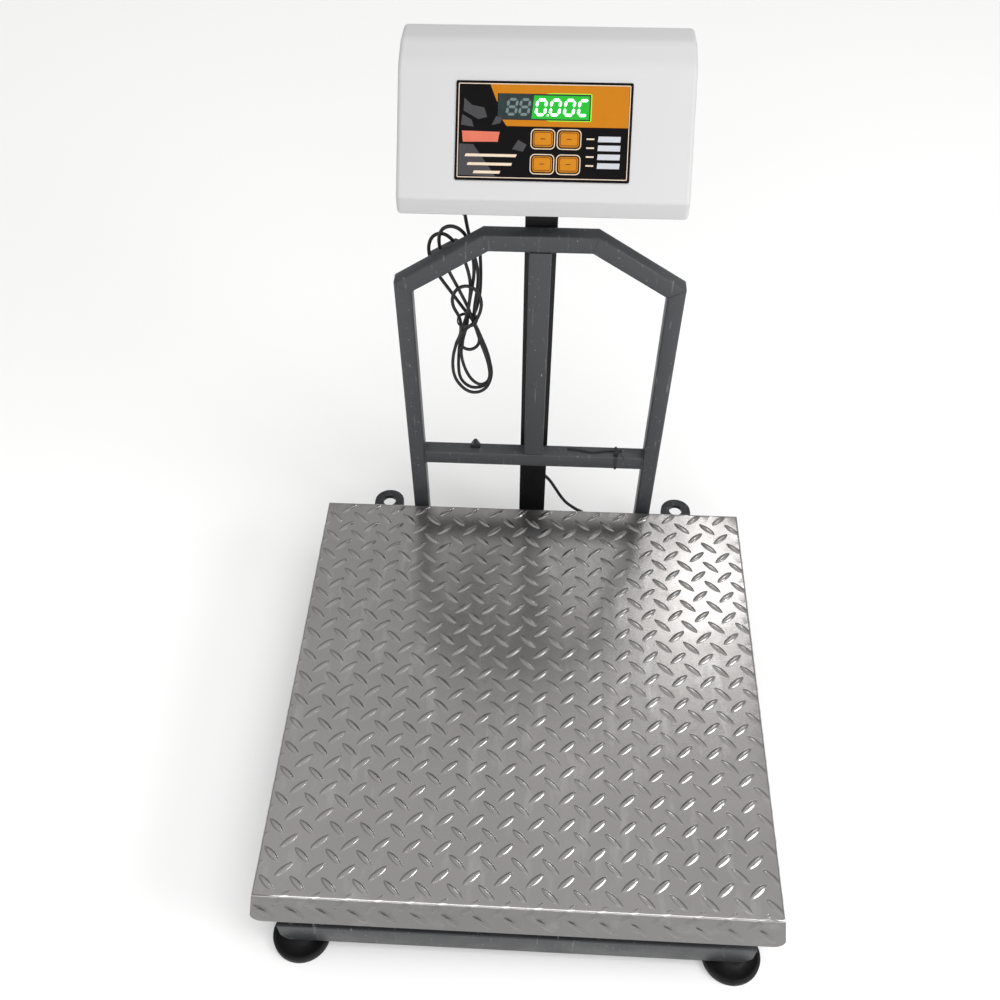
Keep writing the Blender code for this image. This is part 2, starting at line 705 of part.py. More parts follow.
def power_switch(plastic, red):
    """Rocker in a snap-in body on the head's floor; the rocker turns about X."""
    y = PAN_Y + 0.345
    bm = bmesh.new()
    add_box(bm, (-0.0120, -0.0090, -0.0023), (0.0120, 0.0090, -GAP))
    body = finish("switch_body", bm, plastic, (0.090, y, HEAD_BOTTOM))
    bm = bmesh.new()
    add_box(bm, (-0.0102, -0.0072, -0.001), (0.0102, 0.0072, 0.0140))
    combine(body, cutter("switch_neck", bm, body), "UNION")
    bm = bmesh.new()
    add_box(bm, (-0.0080, -0.0056, -0.010), (0.0080, 0.0056, 0.0060))
    combine(body, cutter("switch_well", bm, body))
    bm = bmesh.new()
    outline = [(-0.0048, -0.0040), (0.0, -0.0026), (0.0048, -0.0030), (0.0042, 0.0020), (-0.0042, 0.0020)]
    prism(bm, outline, -0.0076, 0.0076, 0)
    finish("power_rocker", bm, red, (0.090, y, HEAD_BOTTOM - 0.0004))


def gland(name, spot, bore, plastic):
    """A turned grommet with a flange each side of the floor's hole."""
    outer = [(bore, -0.012), (0.0042, -0.012), (0.0056, -0.004), (0.0075, -0.004), (0.0075, -GAP)]
    outer += [(0.0052, -GAP), (0.0052, HEAD_WALL + 0.003), (bore, HEAD_WALL + 0.003)]
    turned(name, outer, plastic, tuple(spot), sides=16)


# Cords ---------------------------------------------------------------------
def smooth_route(points, spacing):
    """Evenly spaced points on a Catmull-Rom curve through the route's points."""
    ends = [points[0] * 2 - points[1]] + points + [points[-1] * 2 - points[-2]]
    fine = []
    for a, b, c, d in zip(ends, ends[1:], ends[2:], ends[3:]):
        for step in range(24):
            t = step / 24
            curved = (2 * a - 5 * b + 4 * c - d) * t**2 + (3 * b - a - 3 * c + d) * t**3
            fine.append((2 * b + (c - a) * t + curved) / 2)
    fine.append(points[-1])
    length = sum((q - p).length for p, q in zip(fine, fine[1:]))
    count = max(2, round(length / spacing))
    made, gone = [fine[0]], 0.0
    for p, q in zip(fine, fine[1:]):
        gone += (q - p).length
        if gone >= len(made) * length / count and len(made) < count:
            made.append(q)
    return made + [fine[-1]]


def cord(name, points, radius, spacing, mat):
    curve = bpy.data.curves.new(name, "CURVE")
    curve.dimensions = "3D"
    spline = curve.splines.new("POLY")
    route = smooth_route(points, spacing)
    spline.points.add(len(route) - 1)
    for target, point in zip(spline.points, route):
        target.co = (*point, 1.0)
    curve.bevel_depth = radius
    curve.bevel_resolution = 2
    curve.use_fill_caps = True
    curve.materials.append(mat)
    obj = bpy.data.objects.new(name, curve)
    bpy.context.scene.collection.objects.link(obj)
    return obj


def mains_cord(rubber):
    """The drop from the head's floor to the hank."""
    start = CORD_EXIT + Vector((0, 0, -0.012 - GAP))
    end = Vector((-0.0740, PAN_Y + 0.2940, PAN_TOP + 0.3560))
    points = [start, start + Vector((0.0004, -0.0008, -0.008)), Vector((-0.0745, PAN_Y + 0.2968, PAN_TOP + 0.369))]
    cord("mains_cord", points + [end], CORD_RADIUS, 0.004, rubber)


def hank(rubber):
    """The tied hank as one solid: the hull of its two round ends."""
    (x1, z1, r1), (x2, z2, r2) = HANK_TOP, HANK_LOW
    span = Vector((x2 - x1, z2 - z1))
    along = math.degrees(math.atan2(span.y, span.x))
    lean = math.degrees(math.acos((r1 - r2) / span.length))
    outline = arc((x2, z2), r2, along - lean, along + lean, 10)
    outline += arc((x1, z1), r1, along + lean, along + 360 - lean, 10)
    bm = bmesh.new()
    prism(bm, outline, HANK_Y[0], HANK_Y[1], 1)
    finish("cord_hank", bm, rubber, smooth=True)


def plug(plastic):
    """Two-pin moulded plug, tucked flat behind the hank along the sloping tube."""
    holder = bpy.data.objects.new("plug_place", None)
    bpy.context.scene.collection.objects.link(holder)
    holder.location = PLUG_AT
    holder.rotation_euler = (0, -PLUG_SLOPE, 0)
    bm = bmesh.new()
    outline = [(-0.018, -0.012), (0.014, -0.0105), (0.018, -0.005), (0.018, 0.005), (0.014, 0.0105), (-0.018, 0.012)]
    prism(bm, outline, -0.007, 0.007, 1)
    body = finish("mains_plug", bm, plastic, parent=holder)
    bm = bmesh.new()
    cylinder(bm, 0.0032, 0.010, 0.030, sides=12)
    bmesh.ops.rotate(bm, verts=bm.verts, matrix=turn_z_to_x())
    combine(body, cutter("plug_relief", bm, holder), "UNION")
    for side in (-1, 1):
        bm = bmesh.new()
        cylinder(bm, 0.0020, -0.037, -0.010, sides=10)
        bmesh.ops.rotate(bm, verts=bm.verts, matrix=turn_z_to_x())
        bmesh.ops.translate(bm, verts=bm.verts, vec=(0, 0, side * PIN_SPACING / 2))
        combine(body, cutter(f"plug_pin_{side + 1}", bm, holder), "UNION")


def turn_z_to_x():
    return Matrix.Rotation(math.pi / 2, 3, "Y")


def cell_cable(rubber):
    """From the cell's fixed end, under the pan, round the post and up to the head."""
    route = (
        (CELL_LENGTH / 2 + 0.0012, 0.000, -0.048),
        (CELL_LENGTH / 2 + 0.006, 0.000, -0.048),
        (0.094, 0.040, -0.054),
        (0.094, 0.140, -0.061),
        (0.080, 0.240, -0.061),
        (0.070, 0.285, -0.062),
        (0.066, 0.299, -0.058),
        (0.057, 0.306, -0.059),
        (0.041, 0.312, -0.049),
        (0.023, 0.3185, -0.022),
        (0.013, 0.3226, -0.012),
        (0.005, 0.3232, 0.010),
        (0.003, 0.3232, 0.070),
        (0.003, 0.3230, 0.190),
        (0.003, 0.3232, 0.310),
        (0.0035, 0.3285, 0.362),
        (0.004, 0.3345, 0.3912 - GAP),
    )
    points = [Vector((x, PAN_Y + y, PAN_TOP + z)) for x, y, z in route]
    cord("cell_cable", points, CABLE_RADIUS, 0.0115, rubber)


def main():
    for obj in list(bpy.data.objects):
        bpy.data.objects.remove(obj, do_unlink=True)
    grey = material("frame_paint", (0.065, 0.068, 0.073), 0.42)
    black_paint = material("post_paint", (0.018, 0.018, 0.021), 0.40)
    tread = material("tread_plate", (0.60, 0.58, 0.56), 0.24, 1.0)
    zinc = material("zinc_steel", (0.55, 0.55, 0.56), 0.35, 1.0)
    alloy = material("cell_alloy", (0.72, 0.73, 0.74), 0.30, 1.0)
    rubber = material("black_rubber", (0.012, 0.012, 0.013), 0.65)
    cord_skin = material("cord_skin", (0.010, 0.010, 0.011), 0.45)
    white = material("head_plastic", (0.80, 0.80, 0.81), 0.28)
    film = material("label_print", (0.012, 0.011, 0.012), 0.22)
    smoke = material("display_smoke", (0.02, 0.05, 0.03), 0.12)
    led = material("display_green", (0.05, 0.60, 0.12), 0.40, emission=0.6)
    board = material("board_green", (0.03, 0.20, 0.08), 0.50)
    orange = material("key_orange", (0.86, 0.36, 0.04), 0.35)
    black = material("black_plastic", (0.015, 0.015, 0.016), 0.38)
    case = material("battery_case", (0.10, 0.11, 0.13), 0.50)
    copper = material("coil_brown", (0.35, 0.17, 0.06), 0.45)
    red = material("rocker_red", (0.55, 0.02, 0.02), 0.30)

    base_rails(grey)
    load_beam("base_beam", RAIL_BOTTOM, RAIL_TOP, CELL_END, True, grey, BASE_WIDTH / 2 - RAIL_DEPTH - GAP)
    fixing_lugs(grey)
    feet(rubber, zinc)
    load_cell(alloy, zinc)
    overload_stop(zinc)
    weighing_frame(grey)
    pan(tread)
    backrest(grey)
    crossbar_clip(black)

    panel = bpy.data.objects.new("panel_frame", None)
    bpy.context.scene.collection.objects.link(panel)
    panel.location = (0, HEAD_FRONT, HEAD_BOTTOM + LIP)
    panel.rotation_euler = (math.pi / 2 - PANEL_TILT, 0, 0)
    head_shell(white, panel)
    head_back(white)
    post(black_paint, zinc)
    panel_parts(panel, film, smoke, led, board, orange)
    head_internals(case, copper)
    power_switch(black, red)
    gland("mains_gland", CORD_EXIT, CORD_RADIUS + GAP, black)
    gland("cable_gland", CABLE_ENTRY, CABLE_RADIUS + GAP, black)
    mains_cord(cord_skin)
    hank(cord_skin)
    plug(black)
    cell_cable(cord_skin)


main()
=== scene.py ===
"""Looks of the platform scale: tread-plate pan, painted tube frame, indicator head and its cords."""

import math

import bmesh
import bpy
import numpy as np
from mathutils import Matrix, Vector, geometry, kdtree, noise

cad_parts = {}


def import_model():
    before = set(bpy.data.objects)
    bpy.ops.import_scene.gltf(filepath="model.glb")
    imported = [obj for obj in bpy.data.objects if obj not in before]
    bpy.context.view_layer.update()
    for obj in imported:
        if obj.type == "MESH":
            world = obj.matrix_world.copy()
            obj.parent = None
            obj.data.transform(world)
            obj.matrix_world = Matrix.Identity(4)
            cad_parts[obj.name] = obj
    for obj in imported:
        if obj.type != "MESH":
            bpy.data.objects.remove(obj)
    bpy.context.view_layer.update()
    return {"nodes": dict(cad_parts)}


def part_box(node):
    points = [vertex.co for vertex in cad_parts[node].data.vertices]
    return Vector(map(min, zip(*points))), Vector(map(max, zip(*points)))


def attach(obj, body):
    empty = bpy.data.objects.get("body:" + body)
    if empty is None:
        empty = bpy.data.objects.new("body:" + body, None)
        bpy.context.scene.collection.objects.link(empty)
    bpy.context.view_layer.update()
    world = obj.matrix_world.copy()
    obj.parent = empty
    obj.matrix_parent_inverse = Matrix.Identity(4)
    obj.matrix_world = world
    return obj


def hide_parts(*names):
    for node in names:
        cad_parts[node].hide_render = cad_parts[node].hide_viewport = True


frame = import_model()
NODES = frame["nodes"]

# The noise module is seeded from the clock unless it is told otherwise.
noise.seed_set(1)

# Places, from the frame where it has them and otherwise as in the CAD, in metres ----
PAN_LOW, PAN_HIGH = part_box("pan")
PAN_TOP = PAN_HIGH.z
PAN_Y = (PAN_LOW.y + PAN_HIGH.y) / 2
PAN_HALF = 0.250  # half of the square top
SKIRT_DROP = PAN_TOP - PAN_LOW.z
SKIRT_FLARE = (PAN_HIGH.x - PAN_HALF) / SKIRT_DROP
SHEET = 0.002  # its thickness

SIDE_LOW, SIDE_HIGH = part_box("backrest_left")
CROSS_LOW, CROSS_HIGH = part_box("backrest_crossbar")
TUBE = CROSS_HIGH.z - CROSS_LOW.z
TOP_LOW, TOP_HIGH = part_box("backrest_top")
SHOULDER_Z = SIDE_HIGH.z - 0.0575
TOP_BAR_HALF = 0.056
UPRIGHT_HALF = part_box("backrest_upright")[1].x

HEAD_LOW, HEAD_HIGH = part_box("head_shell")
LIP = 0.0165
PANEL_TILT = math.radians(43.6)
PANEL_LENGTH = 0.116
HEAD_FOLD_Z = HEAD_LOW.z + LIP
HEAD_BEND_Y = HEAD_LOW.y + PANEL_LENGTH * math.sin(PANEL_TILT)
HEAD_BEND_Z = HEAD_FOLD_Z + PANEL_LENGTH * math.cos(PANEL_TILT)
PANEL_TURN = Matrix.Rotation(math.pi / 2 - PANEL_TILT, 4, "X")
PANEL = Matrix.Translation((0, HEAD_LOW.y, HEAD_FOLD_Z)) @ PANEL_TURN

# Places on the head's sloping panel: across, up the slope, and proud of it
LABEL_X = -0.0015
LABEL_UP = 0.0592
LABEL_HALF = (0.079, 0.0425)
LABEL_BACK = 0.0003
LABEL_FACE = 0.0010
WINDOW_UP = 0.0801
WINDOW_HALF = (0.04125, 0.01075)
KEY_HALF = (0.009, 0.00675)
KEY_X = (-0.0015, 0.0220)
KEY_UP = {"upper": 0.0530, "lower": 0.0315}
GAP = 0.0003


# Material helpers -----------------------------------------------------------
def toned(color, tone):
    return tuple(c * tone for c in color)


class Shader:
    """A Principled material with a few short ways to add nodes."""

    def __init__(self, name, color, roughness, metallic=0.0):
        self.material = bpy.data.materials.new(name)
        self.material.use_nodes = True
        self.tree = self.material.node_tree
        self.surface = self.tree.nodes["Principled BSDF"]
        self.surface.inputs["Base Color"].default_value = (*color, 1)
        self.surface.inputs["Roughness"].default_value = roughness
        self.surface.inputs["Metallic"].default_value = metallic
        self.place = self.tree.nodes.new("ShaderNodeTexCoord").outputs["Object"]

    def link(self, output, target):
        self.tree.links.new(output, target)

    def set(self, **values):
        for name, value in values.items():
            self.surface.inputs[name.replace("_", " ")].default_value = value
        return self

    def node(self, kind):
        return self.tree.nodes.new("ShaderNode" + kind)

    def put(self, target, value):
        """Give a socket a colour, a number or another node's output."""
        if isinstance(value, (tuple, list)):
            target.default_value = (*value, 1)
        elif isinstance(value, (float, int)):
            target.default_value = value
        else:
            self.link(value, target)

    def scaled(self, stretch):
        node = self.node("Mapping")
        node.inputs["Scale"].default_value = stretch
        self.link(self.place, node.inputs["Vector"])
        return node.outputs["Vector"]

    def noise(self, scale, detail=4.0, stretch=(1, 1, 1), roughness=0.55, distortion=0.0):
        node = self.node("TexNoise")
        values = {"Scale": scale, "Detail": detail, "Roughness": roughness, "Distortion": distortion}
        for name, value in values.items():
            node.inputs[name].default_value = value
        self.link(self.scaled(stretch), node.inputs["Vector"])
        return node.outputs["Fac"]

    def ramp(self, value, low, high, start=(0, 0, 0), end=(1, 1, 1)):
        node = self.node("ValToRGB")
        node.color_ramp.elements[0].position = low
        node.color_ramp.elements[1].position = high
        node.color_ramp.elements[0].color = (*start, 1)
        node.color_ramp.elements[1].color = (*end, 1)
        self.link(value, node.inputs["Fac"])
        return node.outputs["Color"]

    def mix(self, factor, a, b):
        node = self.node("Mix")
        node.data_type = "RGBA"
        for index, value in ((0, factor), (6, a), (7, b)):
            self.put(node.inputs[index], value)
        return node.outputs[2]

    def math(self, operation, a, b):
        node = self.node("Math")
        node.operation = operation
        for index, value in enumerate((a, b)):
            self.put(node.inputs[index], value)
        return node.outputs[0]

    def color(self, output):
        self.link(output, self.surface.inputs["Base Color"])

    def rough(self, value, low, high):
        self.link(self.ramp(value, 0.3, 0.7, (low,) * 3, (high,) * 3), self.surface.inputs["Roughness"])

    def bump(self, height, distance, strength=1.0):
        node = self.node("Bump")
        node.inputs["Strength"].default_value = strength
        node.inputs["Distance"].default_value = distance
        self.link(height, node.inputs["Height"])
        before = self.surface.inputs["Normal"].links
        if before:
            self.link(before[0].from_socket, node.inputs["Normal"])
        self.link(node.outputs["Normal"], self.surface.inputs["Normal"])


def tread_steel(name="tread_steel", tone=1.0):
    # A tone below 1 gives a darker copy of the same steel: painted shade for the pan's steep skirt.
    s = Shader(name, toned((0.50, 0.49, 0.475), tone), 0.24, 1.0)
    patches = s.noise(7, 5, distortion=0.4)
    smears = s.noise(55, 6, (1, 0.25, 1))
    base = s.mix(patches, toned((0.45, 0.435, 0.425), tone), toned((0.57, 0.55, 0.545), tone))
    s.color(s.mix(s.ramp(smears, 0.55, 0.8), base, toned((0.66, 0.645, 0.64), tone)))
    s.rough(s.noise(14, 2), 0.20, 0.28)
    s.bump(s.noise(900, 3, (1, 0.06, 1)), 0.00003, 0.5)
    s.bump(s.noise(38, 2), 0.0004, 0.16)
    s.bump(s.noise(130, 5, (0.4, 2.5, 1), 0.7), 0.00006, 0.3)
    return s.material


def frame_paint(name="frame_paint", tone=1.0):
    """Dark grey paint with chips down to pale metal and dusty streaks."""
    # A tone below 1 darkens the whole paint: painted shade where it is used.
    s = Shader(name, toned((0.060, 0.064, 0.070), tone), 0.42)
    mottle = s.noise(22, 5)
    paint = s.mix(mottle, toned((0.040, 0.043, 0.047), tone), toned((0.062, 0.066, 0.072), tone))
    chips = s.ramp(s.noise(260, 5, roughness=0.75), 0.645, 0.68)
    streaks = s.ramp(s.noise(40, 5, (4, 1, 0.35), 0.7), 0.62, 0.70)
    worn = s.math("MAXIMUM", chips, s.math("MULTIPLY", streaks, 0.45))
    s.color(s.mix(worn, paint, (0.36, 0.36, 0.35)))
    s.rough(mottle, 0.34, 0.52)
    s.bump(s.noise(400, 3), 0.00008, 0.5)
    s.bump(s.noise(45, 2), 0.0004, 0.25)
    return s.material


def weld_paint():
    s = Shader("weld_paint", (0.10, 0.10, 0.11), 0.5)
    grains = s.noise(320, 4, roughness=0.7)
    s.color(s.mix(s.ramp(grains, 0.60, 0.70), (0.060, 0.063, 0.068), (0.50, 0.50, 0.49)))
    s.rough(grains, 0.35, 0.6)
    s.bump(s.noise(500, 3), 0.0003, 0.8)
    return s.material


def post_paint():
    s = Shader("post_paint", (0.015, 0.015, 0.017), 0.4)
    mottle = s.noise(25, 4)
    s.color(s.mix(mottle, (0.006, 0.006, 0.007), (0.016, 0.016, 0.018)))
    s.rough(mottle, 0.32, 0.5)
    s.bump(s.noise(350, 3), 0.0001, 0.5)
    return s.set(Specular_IOR_Level=0.3).material


def head_plastic():
    s = Shader("head_plastic", (0.57, 0.57, 0.575), 0.45)
    tone = s.noise(6, 3)
    s.color(s.mix(tone, (0.560, 0.560, 0.566), (0.585, 0.585, 0.59)))
    s.rough(s.noise(30, 4), 0.40, 0.48)
    s.bump(s.noise(700, 3), 0.00006, 0.35)
    return s.set(Specular_IOR_Level=0.4).material


def dark_plastic(name="dark_plastic", low=(0.010, 0.010, 0.011), high=(0.022, 0.022, 0.024)):
    s = Shader(name, low, 0.4)
    grain = s.noise(600, 3)
    s.color(s.mix(s.noise(40, 4), low, high))
    s.rough(grain, 0.34, 0.5)
    s.bump(grain, 0.0001, 0.4)
    return s.material


def pad_rubber():
    s = Shader("pad_rubber", (0.008, 0.008, 0.008), 0.6)
    dust = s.ramp(s.noise(120, 5, roughness=0.75), 0.60, 0.80)
    s.color(s.mix(dust, (0.004, 0.004, 0.0045), (0.020, 0.020, 0.020)))
    s.set(Specular_IOR_Level=0.3)
    s.rough(s.noise(60, 4), 0.45, 0.7)
    s.bump(s.noise(500, 4), 0.0002, 0.6)
    return s.material


def cord_sheath():
    s = Shader("cord_sheath", (0.010, 0.010, 0.011), 0.45)
    s.color(s.mix(s.noise(30, 3), (0.007, 0.007, 0.008), (0.018, 0.018, 0.020)))
    s.rough(s.noise(150, 3), 0.36, 0.55)
    s.bump(s.noise(900, 2), 0.00005, 0.5)
    return s.material


def bright_metal(name, low, high, roughness):
    s = Shader(name, low, roughness, 1.0)
    grain = s.noise(260, 5, (1, 1, 0.15))
    s.color(s.mix(grain, low, high))
    s.rough(grain, roughness * 0.8, roughness * 1.3)
    s.bump(grain, 0.00006, 0.5)
    return s.material


def printed(name, color, roughness=0.30, spread=0.12):
    """Ink under a clear film."""
    s = Shader(name, color, roughness)
    s.color(s.mix(s.noise(90, 4), toned(color, 1 - spread), toned(color, 1 + spread)))
    s.rough(s.noise(200, 3), roughness * 0.85, roughness * 1.2)
    s.bump(s.noise(1500, 2), 0.00002, 0.4)
    return s.set(Coat_Weight=0.02, Coat_Roughness=0.10, Specular_IOR_Level=0.12).material


def glowing(name, color, strength):
    s = Shader(name, color, 0.4)
    light = s.mix(s.noise(300, 2), toned(color, 0.9), color)
    s.color(light)
    s.link(light, s.surface.inputs["Emission Color"])
    s.surface.inputs["Emission Strength"].default_value = strength
    return s.material


def make_materials():
    return {
        "tread": tread_steel(),
        # The tread steel at under half its brightness: painted shade on the pan's steep sides.
        "skirt": tread_steel("skirt_steel_painted_shade", 0.42),
        "frame": frame_paint(),
        # The frame paint at half brightness for the base rails and lugs: painted shade under the pan.
        "base": frame_paint("shaded_base_paint", 0.5),
        "weld": weld_paint(),
        "post": post_paint(),
        "head": head_plastic(),
        "dark": dark_plastic(),
        "rubber": pad_rubber(),
        # halo: film round the window made to emit light, a painted glow.
        "halo": glowing("painted_glow_green", (0.20, 0.62, 0.02), 0.5),
        "cord": cord_sheath(),
        "zinc": bright_metal("zinc_plate", (0.42, 0.42, 0.43), (0.62, 0.62, 0.60), 0.34),
        "alloy": bright_metal("cell_alloy", (0.62, 0.63, 0.64), (0.78, 0.78, 0.79), 0.30),
        "film": printed("label_black", (0.004, 0.0035, 0.004), 0.22, 0.4),
        "orange": printed("label_orange", (0.50, 0.175, 0.006), 0.34, 0.06),
        "cream": printed("label_cream", (0.72, 0.58, 0.45)),
        "key": printed("key_orange", (0.54, 0.20, 0.010), 0.36, 0.06),
        "key_line": printed("key_line", (0.16, 0.05, 0.010), 0.34),
        "strip": printed("label_strip", (0.52, 0.54, 0.58), 0.3, 0.05),
        "haze": printed("label_haze", (0.060, 0.058, 0.063), 0.25),
        "coral": printed("label_coral", (0.62, 0.16, 0.10)),
        "smoke": printed("window_smoke", (0.028, 0.040, 0.040), 0.12, 0.4),
        "glow": glowing("lit_field", (0.002, 0.30, 0.012), 0.55),
        "lit": glowing("lit_segment", (0.60, 1.0, 0.68), 2.2),
        "unlit": printed("unlit_segment", (0.15, 0.20, 0.20), 0.30),
        "board": dark_plastic("board_green", (0.015, 0.12, 0.04), (0.03, 0.20, 0.07)),
        "case": dark_plastic("battery_case", (0.08, 0.09, 0.11), (0.12, 0.13, 0.15)),
        "coil": dark_plastic("coil_brown", (0.20, 0.09, 0.03), (0.40, 0.20, 0.07)),
        "red": printed("rocker_red", (0.50, 0.02, 0.02), 0.28),
        "tie": dark_plastic("tie_black", (0.012, 0.012, 0.012), (0.03, 0.03, 0.03)),
    }


# Mesh helpers ---------------------------------------------------------------
def placed(name, data):
    """A new object in the scene."""
    obj = bpy.data.objects.new(name, data)
    bpy.context.scene.collection.objects.link(obj)
    return obj


def mesh_object(name, bm):
    mesh = bpy.data.meshes.new(name)
    bm.to_mesh(mesh)
    bm.free()
    return placed(name, mesh)


def shade(mesh, sharp):
    """Smooth shading, broken at edges sharper than this many degrees."""
    mesh.shade_smooth()
    mesh.set_sharp_from_angle(angle=math.radians(sharp))


def finish_mesh(name, bm, materials, body, replaces=(), sharp=38.0):
    bmesh.ops.recalc_face_normals(bm, faces=bm.faces)
    obj = mesh_object(name, bm)
    shade(obj.data, sharp)
    for mat in materials:
        obj.data.materials.append(mat)
    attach(obj, body)
    if replaces:
        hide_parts(*replaces)
    return obj


def arc(centre, radius, start, end, steps):
    angles = [math.radians(start + (end - start) * i / steps) for i in range(steps + 1)]
    return [(centre[0] + radius * math.cos(a), centre[1] + radius * math.sin(a)) for a in angles]


def rounded_box(half_x, half_y, radius, steps=4, centre=(0, 0)):
    """Outline of a rectangle with round corners, anticlockwise."""
    x, y = half_x - radius, half_y - radius
    corners = ((x, y, 0), (-x, y, 90), (-x, -y, 180), (x, -y, 270))
    points = [p for cx, cy, turn in corners for p in arc((cx, cy), radius, turn, turn + 90, steps)]
    return [(px + centre[0], py + centre[1]) for px, py in points]


def bridge(bm, first, second, material=0):
    """Faces between two closed rings with as many points; a pole is a ring of one point, repeated."""
    for k in range(len(first)):
        n = (k + 1) % len(first)
        corners = dict.fromkeys((first[k], first[n], second[n], second[k]))
        bm.faces.new(list(corners)).material_index = material


def add_prism(bm, outline, low, high, matrix=None, material=0):
    """A straight-sided solid over an outline in X and Y."""
    place = matrix or Matrix.Identity(4)
    rings = [[bm.verts.new(place @ Vector((x, y, z))) for x, y in outline] for z in (low, high)]
    for ring in (rings[0][::-1], rings[1]):
        bm.faces.new(ring).material_index = material
    bridge(bm, *rings, material)


def add_ring(bm, outer, inner, low, high, matrix, material):
    """A flat frame between two outlines with the same number of points."""
    lines = [(line, z) for z in (low, high) for line in (outer, inner)]
    loops = [[bm.verts.new(matrix @ Vector((x, y, z))) for x, y in line] for line, z in lines]
    for a, b in ((0, 1), (1, 3), (3, 2), (2, 0)):
        bridge(bm, loops[a], loops[b], material)


def add_lathe(bm, profile, sides, matrix, wobble=None):
    """Turn a profile of (radius, height) points, which starts and ends on the axis, about Z."""
    rings = []
    for index, (radius, z) in enumerate(profile):
        if radius == 0:
            rings.append([bm.verts.new(matrix @ Vector((0, 0, z)))] * sides)
            continue
        ring = []
        for i in range(sides):
            turn = 2 * math.pi * i / sides
            r = radius + (wobble(index, turn) if wobble else 0)
            ring.append(bm.verts.new(matrix @ Vector((r * math.cos(turn), r * math.sin(turn), z))))
        rings.append(ring)
    for lower, upper in zip(rings, rings[1:]):
        bridge(bm, lower, upper)


def add_tube(bm, points, radius_at, sides):
    """A round tube along points; radius_at gives its radius at each one."""
    rings = []
    side = None
    for i, point in enumerate(points):
        ahead = points[min(i + 1, len(points) - 1)] - points[max(i - 1, 0)]
        ahead.normalize()
        if side is None:
            side = ahead.orthogonal().normalized()
        side = (side - ahead * side.dot(ahead)).normalized()
        other = ahead.cross(side)
        ring = []
        for k in range(sides):
            turn = 2 * math.pi * k / sides
            out = side * math.cos(turn) + other * math.sin(turn)
            ring.append(bm.verts.new(point + out * radius_at(i, turn)))
        rings.append(ring)
    for first, second in zip(rings, rings[1:]):
        bridge(bm, first, second)
    for ring in (rings[0][::-1], rings[-1]):
        bm.faces.new(ring)


def catmull(line, steps):
    """A Catmull-Rom curve through every point of an n by 3 array."""
    ends = np.vstack([2 * line[0] - line[1], line, 2 * line[-1] - line[-2]])
    t = (np.arange(steps) / steps)[:, None]
    fine = []
    for a, b, c, d in zip(ends, ends[1:], ends[2:], ends[3:]):
        square, cube = 2 * a - 5 * b + 4 * c - d, 3 * b - a - 3 * c + d
        fine.append((2 * b + (c - a) * t + square * t**2 + cube * t**3) / 2)
    return np.vstack([*fine, line[-1:]])


def spaced(line, spacing):
    """The same line with its points a fixed distance apart."""
    gone = np.concatenate([[0], np.cumsum(np.linalg.norm(np.diff(line, axis=0), axis=1))])
    at = np.linspace(0, gone[-1], round(gone[-1] / spacing) + 1)
    return np.stack([np.interp(at, gone, line[:, k]) for k in range(3)], 1)


def smooth_route(points, spacing):
    return [Vector(p) for p in spaced(catmull(np.array(points), 24), spacing)]


# CAD nodes that keep their own shape ----------------------------------------
def soften(node, material, width, segments):
    """A CAD node with its edges rounded and a better finish."""
    obj = NODES[node]
    obj.data.materials.clear()
    obj.data.materials.append(material)
    custom = obj.data.attributes.get("custom_normal")
    if custom:
        obj.data.attributes.remove(custom)
    weld = obj.modifiers.new("weld", "WELD")
    weld.merge_threshold = 0.00001
    bevel = obj.modifiers.new("rounding", "BEVEL")
    bevel.width = width
    bevel.segments = segments
    bevel.limit_method = "ANGLE"
    bevel.angle_limit = math.radians(40)
    bevel.harden_normals = False
    shade(obj.data, 50)


# How a node's name starts: its material, the width of its rounded edges and their steps.
NODE_FINISHES = {
    # base: the frame paint darkened as painted shade under the pan.
    "base_rail": ("base", 0.0016, 3),
    "base_beam": ("frame", 0.0008, 2),
    "weigh_": ("frame", 0.0008, 2),
    "fixing_lug": ("base", 0.0007, 2),
    "backrest_crossbar": ("frame", 0.0014, 3),
    "backrest_upright": ("frame", 0.0014, 3),
    "post_plate": ("post", 0.0006, 2),
    "post": ("post", 0.0007, 2),
    "load_cell": ("alloy", 0.0008, 2),
    "lower_spacer": ("zinc", 0.0004, 2),
    "upper_spacer": ("zinc", 0.0004, 2),
    "foot_stud": ("zinc", 0.0003, 2),
    "cell_bolt": ("zinc", 0.0003, 2),
    "head_bolt": ("zinc", 0.0003, 2),
    "overload_stop": ("zinc", 0.0003, 2),
    "head_back": ("head", 0.0005, 2),
    "main_board": ("board", 0.0002, 1),
    "display_module": ("dark", 0.0004, 2),
    "battery": ("case", 0.002, 3),
    "transformer": ("coil", 0.001, 3),
    "switch_body": ("dark", 0.0005, 2),
    "power_rocker": ("red", 0.0004, 2),
    "cable_gland": ("dark", 0.0004, 2),
    "mains_gland": ("dark", 0.0004, 2),
    "crossbar_clip": ("dark", 0.0006, 2),
    "mains_plug": ("dark", 0.0010, 3),
}


def finish_nodes(m):
    """Finishes for the nodes whose CAD shape is the final shape."""
    for name in NODES:
        start = next((words for words in NODE_FINISHES if name.startswith(words)), None)
        if start:
            material, width, steps = NODE_FINISHES[start]
            soften(name, m[material], width, steps)


